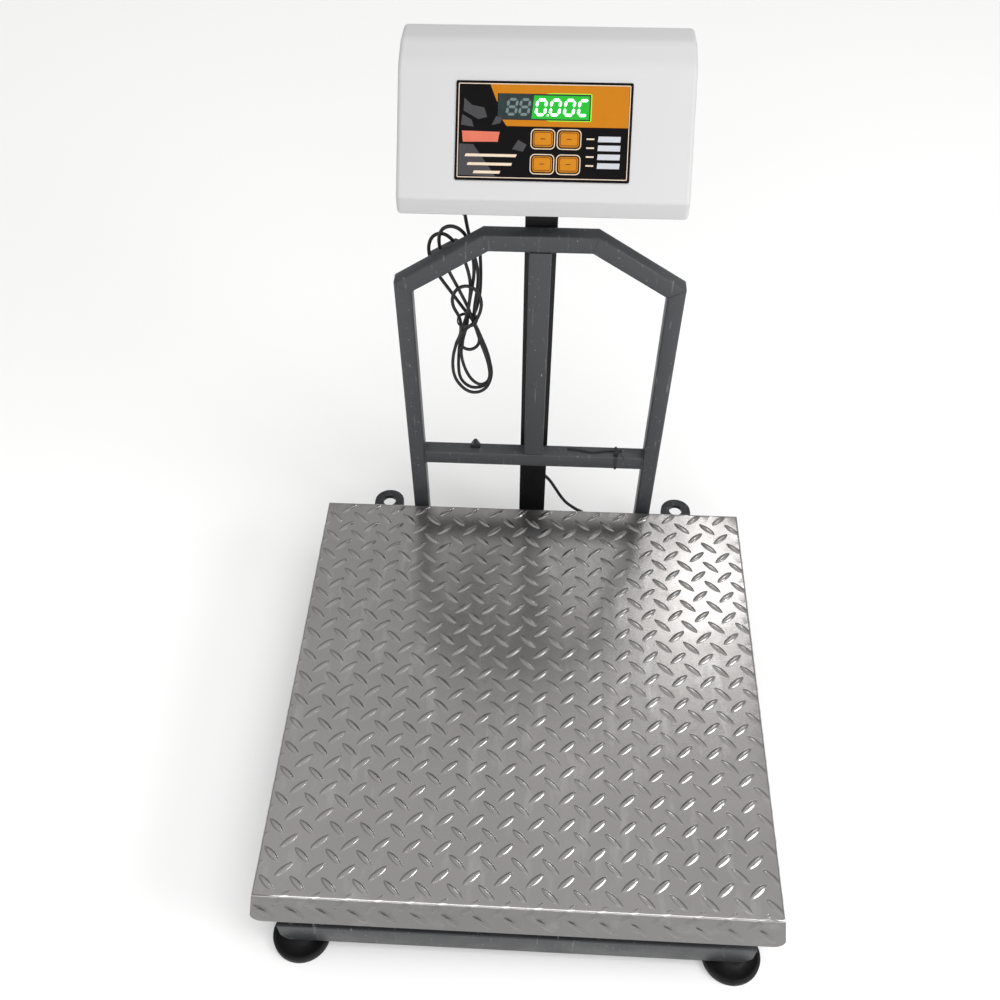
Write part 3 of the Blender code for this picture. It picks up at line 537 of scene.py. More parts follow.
# Pan ------------------------------------------------------------------------
FOLD_RADIUS = 0.0024
FOLD_ANGLE = math.atan2(1.0, SKIRT_FLARE)
FLAT_HALF = PAN_HALF - FOLD_RADIUS * math.tan(FOLD_ANGLE / 2)
ARC_LENGTH = FOLD_RADIUS * FOLD_ANGLE
CORNER_DROP = SKIRT_DROP - 0.010
LOZENGE = (0.0116, 0.0033, 0.00145)  # half length, half width, height
LOZENGE_LEAN = math.radians(43)
PITCH = (0.030, 0.029)  # across and along
COLUMN_SHIFT = {1: 0.017, -1: 0.002}
FIRST_ROW = -PAN_HALF - 0.002
RING_POINTS = 16
LOZENGE_RINGS = ((1.0, 1.0, 0.0006), (1.0, 1.0, 0.0), (0.93, 0.78, 0.0), (0.80, 0.42, 0.0))
EDGE_REACH = 0.004  # how far past the skirt's edge a lozenge may have its centre
SKIRT_START = -0.0022  # below this the sheet takes the skirt's darker copy of the steel, painted shade
FRONT_ROWS = ((0.017, 0.005, 1), (-0.002, 0.0275, -1))  # across, past the front fold, lean


def fold_at(s):
    """Outward reach, drop and turn of the sheet's outer skin, s metres past the flat."""
    if s <= 0:
        return FLAT_HALF, 0.0, 0.0
    turn = min(s / FOLD_RADIUS, FOLD_ANGLE)
    out = FLAT_HALF + FOLD_RADIUS * math.sin(turn)
    drop = FOLD_RADIUS * (1 - math.cos(turn))
    rest = max(0.0, s - ARC_LENGTH)
    return out + rest * math.cos(FOLD_ANGLE), drop + rest * math.sin(FOLD_ANGLE), turn


def length_at(drop):
    """The distance along the skin at which it has dropped this far."""
    return ARC_LENGTH + (drop - FOLD_RADIUS * (1 - math.cos(FOLD_ANGLE))) / math.sin(FOLD_ANGLE)


def flap_outline():
    """One flap's edge in the unfolded sheet: (along, past the flat), left to right."""
    end, corner = length_at(SKIRT_DROP), length_at(CORNER_DROP)
    steps = [ARC_LENGTH * i / 5 for i in range(6)]
    steps += [ARC_LENGTH + (corner - ARC_LENGTH) * i / 6 for i in range(1, 7)]
    left = [(-fold_at(s)[0], s) for s in steps]
    reach = fold_at(corner)[0]
    radius = end - corner
    for turn in (0.3, 0.6, 0.9, 1.2, math.pi / 2):
        left.append((-reach + radius - radius * math.cos(turn), corner + radius * math.sin(turn)))
    return left + [(-x, s) for x, s in reversed(left)]


def on_flap(quarter, along, s):
    """A point s past the flat, on the flap that lies this many quarter turns from the front."""
    turn = quarter * math.pi / 2
    away = FLAT_HALF + s
    return along * math.cos(turn) + away * math.sin(turn), along * math.sin(turn) - away * math.cos(turn)


def sheet_outline():
    """The whole unfolded sheet's edge: a square with four flaps."""
    return [on_flap(quarter, along, s) for quarter in range(4) for along, s in flap_outline()[:-1]]


def lozenge_places():
    """Centres and leans of the raised lozenges in the unfolded sheet."""
    count = int(reach_limit() / PITCH[1]) + 1
    made = []
    for i in range(-count, count + 1):
        for across, past, lean in FRONT_ROWS:
            made.append((across + PITCH[0] * i, -PAN_HALF - past, lean))
        for j in range(2 * count):
            y = FIRST_ROW + PITCH[1] * j
            made.append((COLUMN_SHIFT[1] + PITCH[0] * i, y + PITCH[1], 1))
            made.append((COLUMN_SHIFT[-1] + PITCH[0] * i, y + PITCH[1] / 2, -1))
    return [p for p in made if clear_of_corners(p)]


def clear_of_corners(place):
    """False where a lozenge would run over a flap's slanted side edge."""
    x, y = abs(place[0]), abs(place[1])
    inner, outer = min(x, y), max(x, y)
    if outer > reach_limit():
        return False
    return outer < PAN_HALF - 0.010 or inner < fold_at(outer - FLAT_HALF)[0] - 0.0105


def reach_limit():
    return FLAT_HALF + length_at(SKIRT_DROP) + EDGE_REACH


def lozenge_shape(place):
    """Half length, half width, height and axis: pressing the skirt has stretched the ones along the front."""
    length, width, height = LOZENGE
    lean = LOZENGE_LEAN
    if place[1] < -PAN_HALF - 0.001:
        length, width, height, lean = length * 1.25, width * 1.25, height * 1.6, math.radians(50)
    return length, width, height, (math.cos(lean), math.sin(lean) * place[2])


def lozenge_ring(place, along_scale, across_scale, grow):
    """A lozenge's outline, scaled along and across it and then grown, with slimmer ends than an ellipse."""
    x, y = place[:2]
    length, width, _, axis = lozenge_shape(place)
    ring = []
    for k in range(RING_POINTS):
        turn = 2 * math.pi * k / RING_POINTS
        a = math.cos(turn) * (length * along_scale + grow * 1.3)
        b = math.sin(turn) * abs(math.sin(turn)) ** 0.35 * (width * across_scale + grow)
        ring.append((x + a * axis[0] - b * axis[1], y + a * axis[1] + b * axis[0]))
    return ring


def lozenge_height(place, x, y):
    length, width, height, axis = lozenge_shape(place)
    away = (x - place[0], y - place[1])
    a = (away[0] * axis[0] + away[1] * axis[1]) / length
    b = (-away[0] * axis[1] + away[1] * axis[0]) / width
    if abs(a) >= 1:
        return 0.0
    half = (1 - a * a) ** 0.68
    t = abs(b) / half
    if t >= 1:
        return 0.0
    return height * (1 - a * a) ** 0.60 * (1 - t * t) ** 0.65


def left_by_folding(x, y):
    """The share of a lozenge's height that is left: little near a fold, half on the side flaps."""
    s = max(abs(x), abs(y)) - FLAT_HALF
    share = min(1.0, abs(s - ARC_LENGTH / 2) / 0.007)
    return share * (0.5 if s > ARC_LENGTH and abs(x) > abs(y) else 1.0)


def sheet_wave(x, y):
    """The rolled sheet isn't quite flat."""
    edge = min(1.0, max(0.0, (FLAT_HALF - max(abs(x), abs(y))) / 0.03))
    return edge * 0.00045 * noise.noise(Vector((x * 11, y * 11, 3.7)))


def folded(x, y, lift):
    """A point of the unfolded sheet, raised by lift and folded into place."""
    ax, ay = abs(x), abs(y)
    s = max(ax, ay) - FLAT_HALF
    if s <= 0:
        return Vector((x, y, lift + sheet_wave(x, y)))
    out, drop, turn = fold_at(s)
    out += lift * math.sin(turn)
    drop -= lift * math.cos(turn)
    if ay >= ax:
        return Vector((x, math.copysign(out, y), -drop))
    return Vector((math.copysign(out, x), y, -drop))


def unfolded_sheet():
    """Points, constraint edges and lozenge centres of the flat pattern."""
    points = sheet_outline()
    rim = len(points)
    edges = []
    places = lozenge_places()
    for place in places:
        for scales in LOZENGE_RINGS:
            ring = lozenge_ring(place, *scales)
            start = len(points)
            points += ring
            edges += [(start + k, start + (k + 1) % len(ring)) for k in range(len(ring))]
        length, _, _, axis = lozenge_shape(place)
        for step in (-0.55, 0.0, 0.55):
            points.append((place[0] + step * length * axis[0], place[1] + step * length * axis[1]))
    for quarter in range(4):
        for step in range(6):
            s = ARC_LENGTH * step / 5
            half = fold_at(s)[0]
            edges.append((len(points), len(points) + 1))
            points += [on_flap(quarter, -half, s), on_flap(quarter, half, s)]
    grid = 0.0125
    count = int(FLAT_HALF / grid)
    points += [(i * grid, j * grid) for i in range(-count, count + 1) for j in range(-count, count + 1)]
    return points, edges, rim, places


def tread_pan(m):
    """The pan's tray: the flat pattern with its lozenges raised, folded and lined."""
    points, edges, rim, places = unfolded_sheet()
    flat = [Vector(p) for p in points]
    verts, _, faces, *_ = geometry.delaunay_2d_cdt(flat, edges, [list(range(rim))], 1, 1e-7)
    tree = kdtree.KDTree(len(places))
    for i, (x, y, _) in enumerate(places):
        tree.insert((x, y, 0), i)
    tree.balance()
    bm = bmesh.new()
    made = []
    for v in verts:
        lift = max(lozenge_height(places[i], v.x, v.y) for _, i, _ in tree.find_n((v.x, v.y, 0), 3))
        made.append(bm.verts.new(folded(v.x, v.y, lift * left_by_folding(v.x, v.y))))
    for face in faces:
        bm.faces.new([made[i] for i in face])
    bmesh.ops.remove_doubles(bm, verts=bm.verts, dist=0.00002)
    close_tray(bm)
    # Faces low on the skirt get the darker copy of the steel: painted shade.
    for face in bm.faces:
        face.material_index = 1 if face.calc_center_median().z < SKIRT_START else 0
    bmesh.ops.translate(bm, verts=bm.verts, vec=(0, PAN_Y, PAN_TOP))
    finish_mesh("tread_pan", bm, [m["tread"], m["skirt"]], "platform", ["pan"], 60)


def close_tray(bm):
    """Turn the outer skin's free edge under and line the inside of the tray."""
    slope = math.hypot(1.0, SKIRT_FLARE)
    rim = [e for e in bm.edges if len(e.link_faces) == 1]
    for inside in (False, True):
        made = bmesh.ops.extrude_edge_only(bm, edges=rim)["geom"]
        for vert in (g for g in made if isinstance(g, bmesh.types.BMVert)):
            x, y, z = vert.co
            z = -SHEET if inside else z
            half = PAN_HALF - SKIRT_FLARE * z - SHEET * slope
            vert.co = (max(-half, min(half, x)), max(-half, min(half, y)), z)
        rim = [g for g in made if isinstance(g, bmesh.types.BMEdge) and len(g.link_faces) == 1]
    corners = list({v for e in rim for v in e.verts})
    bmesh.ops.remove_doubles(bm, verts=corners, dist=0.00002)
    bmesh.ops.holes_fill(bm, edges=[e for e in bm.edges if len(e.link_faces) == 1], sides=0)


# Backrest -------------------------------------------------------------------
def backrest_frame(m):
    """The bent outer tube of the backrest, with mitred and ground corners."""
    half = -SIDE_LOW.x
    path = [
        Vector((-half, SIDE_LOW.z)),
        Vector((-half, SHOULDER_Z)),
        Vector((-TOP_BAR_HALF, SIDE_HIGH.z)),
        Vector((TOP_BAR_HALF, SIDE_HIGH.z)),
        Vector((half, SHOULDER_Z)),
        Vector((half, SIDE_LOW.z)),
    ]
    normals = []
    for i, here in enumerate(path):
        first = max(0, i - 1)
        ways = [b - a for a, b in zip(path[first : i + 1], path[first + 1 : i + 2])]
        sides = [Vector((way.y, -way.x)).normalized() for way in ways]
        mitre = sum(sides, Vector((0, 0))).normalized()
        normals.append(mitre / mitre.dot(sides[0]))
    bm = bmesh.new()
    wall = 0.0015
    middle = (TUBE / 2, TUBE / 2)
    shells = []
    for inset, radius in ((0.0, 0.0022), (wall, 0.0010)):
        section = rounded_box(TUBE / 2 - inset, TUBE / 2 - inset, radius, 3, middle)
        rings = []
        for here, normal in zip(path, normals):
            ring = []
            for across, deep in section:
                spot = here + normal * across
                ring.append(bm.verts.new((spot.x, SIDE_LOW.y + deep, spot.y)))
            rings.append(ring)
        for first, second in zip(rings, rings[1:]):
            bridge(bm, first, second)
        shells.append(rings)
    for end in (0, -1):
        bridge(bm, shells[0][end], shells[1][end])
    tubes = ["backrest_left", "backrest_top", "backrest_right"]
    finish_mesh("backrest_frame", bm, [m["frame"]], "base", tubes, 50)


BEAD = 0.0014  # radius of a full weld bead
GROUND_BEAD = 0.0006  # and of one that was ground down


def weld_lines():
    """Start, end and radius of each visible weld bead."""
    front, back = SIDE_LOW.y - 0.0001, SIDE_HIGH.y
    near, far = front + 0.001, back - 0.001
    inner, outer = CROSS_HIGH.x, -SIDE_LOW.x
    lines = []

    def through(x, z, radius=BEAD):
        lines.append(((x, near, z), (x, far, z), radius))

    for side in (-1, 1):
        for z in (CROSS_LOW.z, CROSS_HIGH.z):
            through(side * inner, z, 0.0013)
        lines.append(((side * inner, front, CROSS_LOW.z), (side * inner, front, CROSS_HIGH.z), 0.0008))
        for z in (CROSS_HIGH.z, TOP_LOW.z):
            through(side * UPRIGHT_HALF, z)
        fold_start = (side * TOP_BAR_HALF, front, TOP_HIGH.z - 0.001)
        lines.append((fold_start, (side * 0.0507, front, TOP_LOW.z + 0.001), GROUND_BEAD))
        shoulder_start = (side * (outer - 0.001), front, SHOULDER_Z)
        lines.append((shoulder_start, (side * inner, front, SHOULDER_Z - 0.0099), GROUND_BEAD))
        leg = outer - TUBE / 2
        for edge in (-1, 1):
            x = side * leg + edge * TUBE / 2
            lines.append(((x, SIDE_LOW.y + 0.001, SIDE_LOW.z), (x, far, SIDE_LOW.z), 0.0015))
        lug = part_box("fixing_lug_left" if side < 0 else "fixing_lug_right")
        for x in (lug[0].x, lug[1].x):
            lines.append(((x, lug[0].y, lug[0].z), (x, lug[0].y + 0.022, lug[0].z), BEAD))
    foot = (front, CROSS_HIGH.z + 0.0002)
    lines.append(((-UPRIGHT_HALF, *foot), (UPRIGHT_HALF, *foot), 0.0008))
    return lines


def weld_beads(m):
    """Lumpy beads, made as rows of overlapping ripples."""
    bm = bmesh.new()
    for index, (start, end, radius) in enumerate(weld_lines()):
        a, b = Vector(start), Vector(end)
        count = max(4, round((b - a).length / 0.0009))
        points = []
        for i in range(count + 1):
            jitter = noise.noise_vector(Vector((i * 0.9, index * 7.3, 0.5))) * radius * 0.35
            points.append(a.lerp(b, i / count) + jitter)

        def radius_at(i, turn, radius=radius, count=count, index=index):
            ends = min(1.0, 0.35 + min(i, count - i) * 0.3)
            ripple = 0.85 + 0.25 * noise.noise(Vector((i * 0.8, index * 3.1, turn * 0.4)))
            return radius * ends * ripple

        add_tube(bm, points, radius_at, 8)
    finish_mesh("weld_beads", bm, [m["weld"]], "base", sharp=80)


# Feet -----------------------------------------------------------------------
def foot_pads(m):
    """Moulded pads with a serrated rim and a raised hub."""
    for where in ("front_left", "front_right", "rear_left", "rear_right"):
        low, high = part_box(f"foot_pad_{where}")
        radius = (high.x - low.x) / 2
        place = Matrix.Translation(((low.x + high.x) / 2, (low.y + high.y) / 2, 0))
        profile = [
            (0, 0.0008),
            (radius - 0.006, 0.0008),
            (radius - 0.005, 0),
            (radius - 0.0012, 0),
            (radius - 0.0003, 0.0006),
            (radius, 0.0016),
            (radius - 0.0004, 0.0034),
            (radius - 0.0004, 0.0062),
            (radius - 0.0009, 0.0078),
            (radius - 0.0024, 0.0089),
            (radius - 0.0045, 0.0090),
            (radius - 0.0058, 0.0082),
            (0.0165, 0.0079),
            (0.0125, 0.0092),
            (0.0108, 0.0112),
            (0.0098, 0.0125),
            (0.0056, 0.0125),
            (0.0054, 0.0044),
            (0, 0.0044),
        ]

        def wobble(index, turn):
            return -0.00035 * (0.5 + 0.5 * math.cos(48 * turn)) if index in (5, 6) else 0.0

        bm = bmesh.new()
        add_lathe(bm, profile, 144, place, wobble)
        name = f"foot_{where}"
        finish_mesh(f"pad_{where}", bm, [m["rubber"]], name, [f"foot_pad_{where}"], 45)


# Head -----------------------------------------------------------------------
def round_corners(points, radii, steps):
    made = []
    for i, (corner, radius) in enumerate(zip(points, radii)):
        here = Vector(corner)
        back = (Vector(points[i - 1]) - here).normalized()
        ahead = (Vector(points[(i + 1) % len(points)]) - here).normalized()
        if radius == 0:
            made.append(tuple(here))
            continue
        half = back.angle(ahead) / 2
        reach = radius / math.tan(half)
        centre = here + (back + ahead).normalized() * (radius / math.sin(half))
        start = here + back * reach - centre
        sweep = (here + ahead * reach - centre).angle_signed(start)
        for step in range(steps + 1):
            turn = sweep * step / steps
            x = start.x * math.cos(turn) - start.y * math.sin(turn)
            y = start.x * math.sin(turn) + start.y * math.cos(turn)
            made.append((centre.x + x, centre.y + y))
    return made


def moved_inwards(points, inset):
    """The same convex outline with every side moved in."""
    sides = []
    for a, b in zip(points, points[1:] + points[:1]):
        way = (Vector(b) - Vector(a)).normalized()
        sides.append((Vector(a) + Vector((way.y, -way.x)) * inset, way))
    made = []
    for (a, along), (b, other) in zip(sides[-1:] + sides[:-1], sides):
        reach = (b - a).cross(other) / along.cross(other)
        made.append(tuple(a + along * reach))
    return made


def head_side(inset):
    """Side view of the head as (y, z), clockwise from its lower front corner."""
    points = [(HEAD_LOW.y, HEAD_LOW.z), (HEAD_LOW.y, HEAD_FOLD_Z), (HEAD_BEND_Y, HEAD_BEND_Z)]
    points += [(HEAD_BEND_Y + 0.028, HEAD_HIGH.z), (HEAD_HIGH.y, HEAD_HIGH.z - 0.002)]
    points.append((HEAD_HIGH.y, HEAD_LOW.z))
    radii = [max(0.0003, radius - inset) for radius in (0.0016, 0.004, 0.030, 0.030, 0.008, 0.0016)]
    return round_corners(moved_inwards(points, inset), radii, 8)


def head_shell(m):
    """A hollow moulding, rounded at both ends, open below and behind."""
    half, edge = HEAD_HIGH.x, 0.0045
    bm = bmesh.new()
    turns = [math.pi / 2 * i / 6 for i in range(7)]
    stations = [(edge - half - edge * math.sin(t), edge * (1 - math.cos(t))) for t in reversed(turns)]
    stations += [(-x, inset) for x, inset in reversed(stations)]
    rings = [[bm.verts.new((x, y, z)) for y, z in head_side(inset)] for x, inset in stations]
    for first, second in zip(rings, rings[1:]):
        bridge(bm, first, second)
    bm.faces.new(rings[0])
    bm.faces.new(rings[-1][::-1])
    shell = finish_mesh("head_cover", bm, [m["head"]], "base", ["head_shell"], 40)
    cut(shell, hollow_cutter(half))
    cut_openings(shell, -0.010, 0.006, 40)


def hollow_cutter(half):
    """The space inside the shell: its side view shrunk by the wall, open below and behind."""
    wall, past = 0.003, 0.02
    points = [
        (HEAD_LOW.y + wall, HEAD_LOW.z - past),
        (HEAD_LOW.y + wall, HEAD_FOLD_Z - 0.0012),
        (HEAD_BEND_Y + 0.0014, HEAD_BEND_Z - wall * 1.15),
        (HEAD_BEND_Y + 0.0285, HEAD_HIGH.z - wall),
        (HEAD_HIGH.y + past, HEAD_HIGH.z - wall - 0.0022),
        (HEAD_HIGH.y + past, HEAD_LOW.z - past),
    ]
    bm = bmesh.new()
    turn = Matrix(((0, 0, 1, 0), (1, 0, 0, 0), (0, 1, 0, 0), (0, 0, 0, 1)))
    add_prism(bm, round_corners(points, [0, 0.002, 0.02, 0.02, 0, 0], 5), wall - half, half - wall, turn)
    return cutter("head_hollow", bm)


def cut_openings(target, low, high, sharp):
    """Cut the openings for the window and the keys through a piece of the panel, and bake them in."""
    places = [(LABEL_X, WINDOW_UP, WINDOW_HALF)]
    places += [(x, up, KEY_HALF) for up in KEY_UP.values() for x in KEY_X]
    for x, up, (half_x, half_y) in places:
        bm = bmesh.new()
        add_prism(bm, rounded_box(half_x + GAP, half_y + GAP, 0.0012, 3, (x, up)), low, high, PANEL)
        cut(target, cutter("panel_opening", bm))
    bake_modifiers(target, sharp)


def cutter(name, bm):
    bmesh.ops.recalc_face_normals(bm, faces=bm.faces)
    return mesh_object(name, bm)


def cut(target, tool):
    modifier = target.modifiers.new(tool.name, "BOOLEAN")
    modifier.operation = "DIFFERENCE"
    modifier.object = tool


def bake_modifiers(obj, sharp):
    """Replace the mesh with what its modifiers give, and drop the cutters."""
    tools = [mod.object for mod in obj.modifiers if mod.type == "BOOLEAN"]
    bpy.context.view_layer.update()
    graph = bpy.context.evaluated_depsgraph_get()
    mesh = bpy.data.meshes.new_from_object(obj.evaluated_get(graph))
    obj.modifiers.clear()
    obj.data = mesh
    shade(mesh, sharp)
    for tool in tools:
        bpy.data.objects.remove(tool)


# Label, window and keys -----------------------------------------------------
# halo is not an ink but an emitting band: painted glow round the window.
INKS = ("film", "orange", "cream", "strip", "haze", "coral", "halo")
LAYER = 0.00006  # thickness of one ink
WINDOW_EDGE = (WINDOW_HALF[0] + 0.0004, WINDOW_HALF[1] + 0.0004)


def slanted(left, right, low, high, lean=0.0):
    """Outline of a bar whose top is moved sideways by lean."""
    return [(left, low), (right, low), (right + lean, high), (left + lean, high)]


def line_round(bm, half, centre, outer, inner, steps, low, high, material):
    """A line round a rectangle. Its two edges are each given as a distance outwards and a corner radius."""
    edges = (outer, inner)
    lines = [rounded_box(half[0] + out, half[1] + out, radius, steps, centre) for out, radius in edges]
    add_ring(bm, *lines, low, high, PANEL, material)


def label_print(m):
    """Black film with its printed areas as thin raised layers, and a painted green glow round the window."""
    bm = bmesh.new()
    outline = rounded_box(*LABEL_HALF, 0.0015, 3, (LABEL_X, LABEL_UP))
    add_prism(bm, outline, LABEL_BACK, LABEL_FACE, PANEL)
    film = finish_mesh("label_sheet", bm, [m["film"]], "base", ["label_film"], 30)
    cut_openings(film, -0.002, 0.004, 30)
    bm = bmesh.new()
    base = LABEL_FACE + 0.00001

    def draw(outline, ink, low=0.0, high=1.0):
        add_prism(bm, outline, base + LAYER * low, base + LAYER * high, PANEL, INKS.index(ink))

    def frame_line(half, centre, outer, inner, steps):
        line_round(bm, half, centre, outer, inner, steps, base, base + LAYER * 2, INKS.index("cream"))

    draw(orange_field(), "orange")
    # Painted glow round the lit window.
    for bar in window_halo():
        draw(bar, "halo", 1.1, 1.5)
    frame_line(LABEL_HALF, (LABEL_X, LABEL_UP), (-0.0022, 0.001), (-0.0029, 0.0007), 3)
    for up in KEY_UP.values():
        for x in KEY_X:
            frame_line(KEY_HALF, (x, up), (0.0020, 0.0042), (0.0012, 0.0036), 5)
    for row in range(4):
        up = 0.0538 - row * 0.0076
        draw(slanted(0.0478, 0.0678, up - 0.0024, up + 0.0024, 0.0004), "strip")
        draw(slanted(0.0375, 0.0445, up - 0.0007, up + 0.0006, 0.0002), "cream")
    for up, width in ((0.0385, 0.046), (0.0310, 0.040), (0.0240, 0.024)):
        left = -0.0715 + (0.046 - width) * 0.35
        draw(slanted(left, left + width, up - 0.0014, up + 0.0010, 0.001), "cream")
    draw([(-0.0735, 0.0495), (-0.0420, 0.0500), (-0.0405, 0.0585), (-0.0745, 0.0590)], "coral")
    for patch in haze_patches():
        draw(patch, "haze", high=0.5)
    finish_mesh("label_inks", bm, [m[ink] for ink in INKS], "base", sharp=30)


def window_halo():
    """Painted glow on the film round the lit part of the window, as three emitting bars."""
    right = LABEL_X + WINDOW_EDGE[0]
    for side in (-1, 1):
        near, far = WINDOW_UP + side * WINDOW_EDGE[1], WINDOW_UP + side * (WINDOW_EDGE[1] + 0.0007)
        yield [(0.0, near), (right, near), (right + 0.0005, far), (0.004, far)]
    yield slanted(right, right + 0.0010, WINDOW_UP - WINDOW_EDGE[1], WINDOW_UP + WINDOW_EDGE[1])


def orange_field():
    """The orange area: it wraps the window on three sides and ends in a slant."""
    right, top, low = 0.0742, 0.0987, 0.0636
    above, below = WINDOW_UP + WINDOW_EDGE[1], WINDOW_UP - WINDOW_EDGE[1]
    start, end = LABEL_X - WINDOW_EDGE[0], LABEL_X + WINDOW_EDGE[0]
    window = [(start - 0.0006, above - 0.007), (start, above - 0.007), (start, above)]
    window += [(end, above), (end, below)]
    return [(-0.0500, top), *window, (-0.0385, below), (-0.0345, low), (right, low), (right, top)]


def haze_patches():
    """Plain grey shapes in the black area."""
    low_side = [(-0.0735, 0.076), (-0.060, 0.069), (-0.052, 0.071)]
    yield low_side + [(-0.055, 0.079), (-0.066, 0.081), (-0.073, 0.087)]
    yield [(-0.0755, 0.0640), (-0.0640, 0.0625), (-0.0660, 0.0685), (-0.0745, 0.0730)]
    yield [(-0.0770, 0.0210), (-0.0430, 0.0200), (-0.0640, 0.0475), (-0.0770, 0.0480)]
    yield [(-0.0290, 0.0440), (-0.0190, 0.0420), (-0.0160, 0.0480), (-0.0235, 0.0520)]
    yield [(-0.0480, 0.0640), (-0.0400, 0.0660), (-0.0385, 0.0705), (-0.0440, 0.0720)]


SEGMENTS = {
    "top": ((0, 1), (1, 1)),
    "middle": ((0, 0), (1, 0)),
    "bottom": ((0, -1), (1, -1)),
    "upper_left": ((0, 0), (0, 1)),
    "lower_left": ((0, -1), (0, 0)),
    "upper_right": ((1, 0), (1, 1)),
    "lower_right": ((1, -1), (1, 0)),
}
DIGIT_SIZE = (0.0078, 0.0063)  # width and half height, between the strokes' middles
DIGIT_STROKE = 0.00120  # half a stroke's width
DIGIT_SLANT = 0.12
SEGMENT_GAP = 0.0006


def add_digit(bm, x, shown, low, high, material):
    """Seven-segment figure: only the named segments."""
    width, half = DIGIT_SIZE
    for name in shown:
        (ax, ay), (bx, by) = SEGMENTS[name]
        a = Vector(((ax - 0.5) * width, ay * half))
        b = Vector(((bx - 0.5) * width, by * half))
        way = (b - a).normalized()
        side = Vector((-way.y, way.x)) * DIGIT_STROKE
        a += way * SEGMENT_GAP
        b -= way * SEGMENT_GAP
        points = [a, a + way * DIGIT_STROKE - side, b - way * DIGIT_STROKE - side]
        points += [b, b - way * DIGIT_STROKE + side, a + way * DIGIT_STROKE + side]
        outline = [(x + p.x + p.y * DIGIT_SLANT, WINDOW_UP + p.y) for p in points]
        add_prism(bm, outline, low, high, PANEL, material)


def display(m):
    """Smoked window with a lit field, four lit figures and two unlit ones."""
    face = 0.0006
    top = face + 0.00001
    bm = bmesh.new()
    add_prism(bm, rounded_box(*WINDOW_HALF, 0.0008, 3, (LABEL_X, WINDOW_UP)), -0.0010, face, PANEL, 0)
    left, right = -0.0125, LABEL_X + WINDOW_HALF[0] - 0.0006
    up, down = WINDOW_UP + WINDOW_HALF[1] - 0.0008, WINDOW_UP - WINDOW_HALF[1] + 0.0008
    field = [(left, down), (right, down), (right, up), (left + 0.002, up)]
    add_prism(bm, field, top, top + 0.00005, PANEL, 1)
    for x in (-0.0300, -0.0187):
        add_digit(bm, x, SEGMENTS, top, top + 0.00008, 2)
    zero = [name for name in SEGMENTS if name != "middle"]
    last = ["top", "upper_left", "lower_left", "bottom"]
    lit = (top + 0.00006, top + 0.00016)
    for x, shown in ((-0.0040, zero), (0.0087, zero), (0.0213, zero), (0.0338, last)):
        add_digit(bm, x, shown, *lit, 3)
    add_prism(bm, rounded_box(0.0009, 0.0009, 0.0008, 4, (0.0022, WINDOW_UP - 0.0066)), *lit, PANEL, 3)
    materials = [m["smoke"], m["glow"], m["unlit"], m["lit"]]
    finish_mesh("display_face", bm, materials, "base", ["display_window"], 30)


def keys(m):
    """Domed caps with a printed line round them and a dash, one per key body."""
    for row, up in KEY_UP.items():
        for column, x in zip(("left", "right"), KEY_X):
            key_cap(m, f"key_{row}_{column}", f"cap_{row}_{column}", x, up)


def key_cap(m, node, piece, x, up):
    top = 0.0018
    print_top = top + 0.00016
    levels = ((0.0, -0.0080), (0.0, top - 0.0005), (0.0002, top - 0.00015))
    levels += ((0.0006, top), (0.0030, top + 0.00012))
    bm = bmesh.new()
    loops = []
    for inset, z in levels:
        corner = max(0.0006, 0.003 - inset)
        outline = rounded_box(KEY_HALF[0] - inset, KEY_HALF[1] - inset, corner, 5, (x, up))
        loops.append([bm.verts.new(PANEL @ Vector((px, py, z))) for px, py in outline])
    for first, second in zip(loops, loops[1:]):
        bridge(bm, first, second)
    bm.faces.new(loops[0][::-1])
    bm.faces.new(loops[-1])
    line_round(bm, KEY_HALF, (x, up), (-0.0009, 0.0024), (-0.0015, 0.0019), 5, top - 0.0001, print_top, 1)
    add_prism(bm, slanted(x - 0.0022, x + 0.0022, up - 0.0004, up + 0.0004), top, top + 0.0002, PANEL, 1)
    finish_mesh(piece, bm, [m["key"], m["key_line"]], node, [node], 35)


# Cords ----------------------------------------------------------------------
CORD_RADIUS = 0.0018
CABLE_RADIUS = 0.0020
STRAND_GAP = 0.35
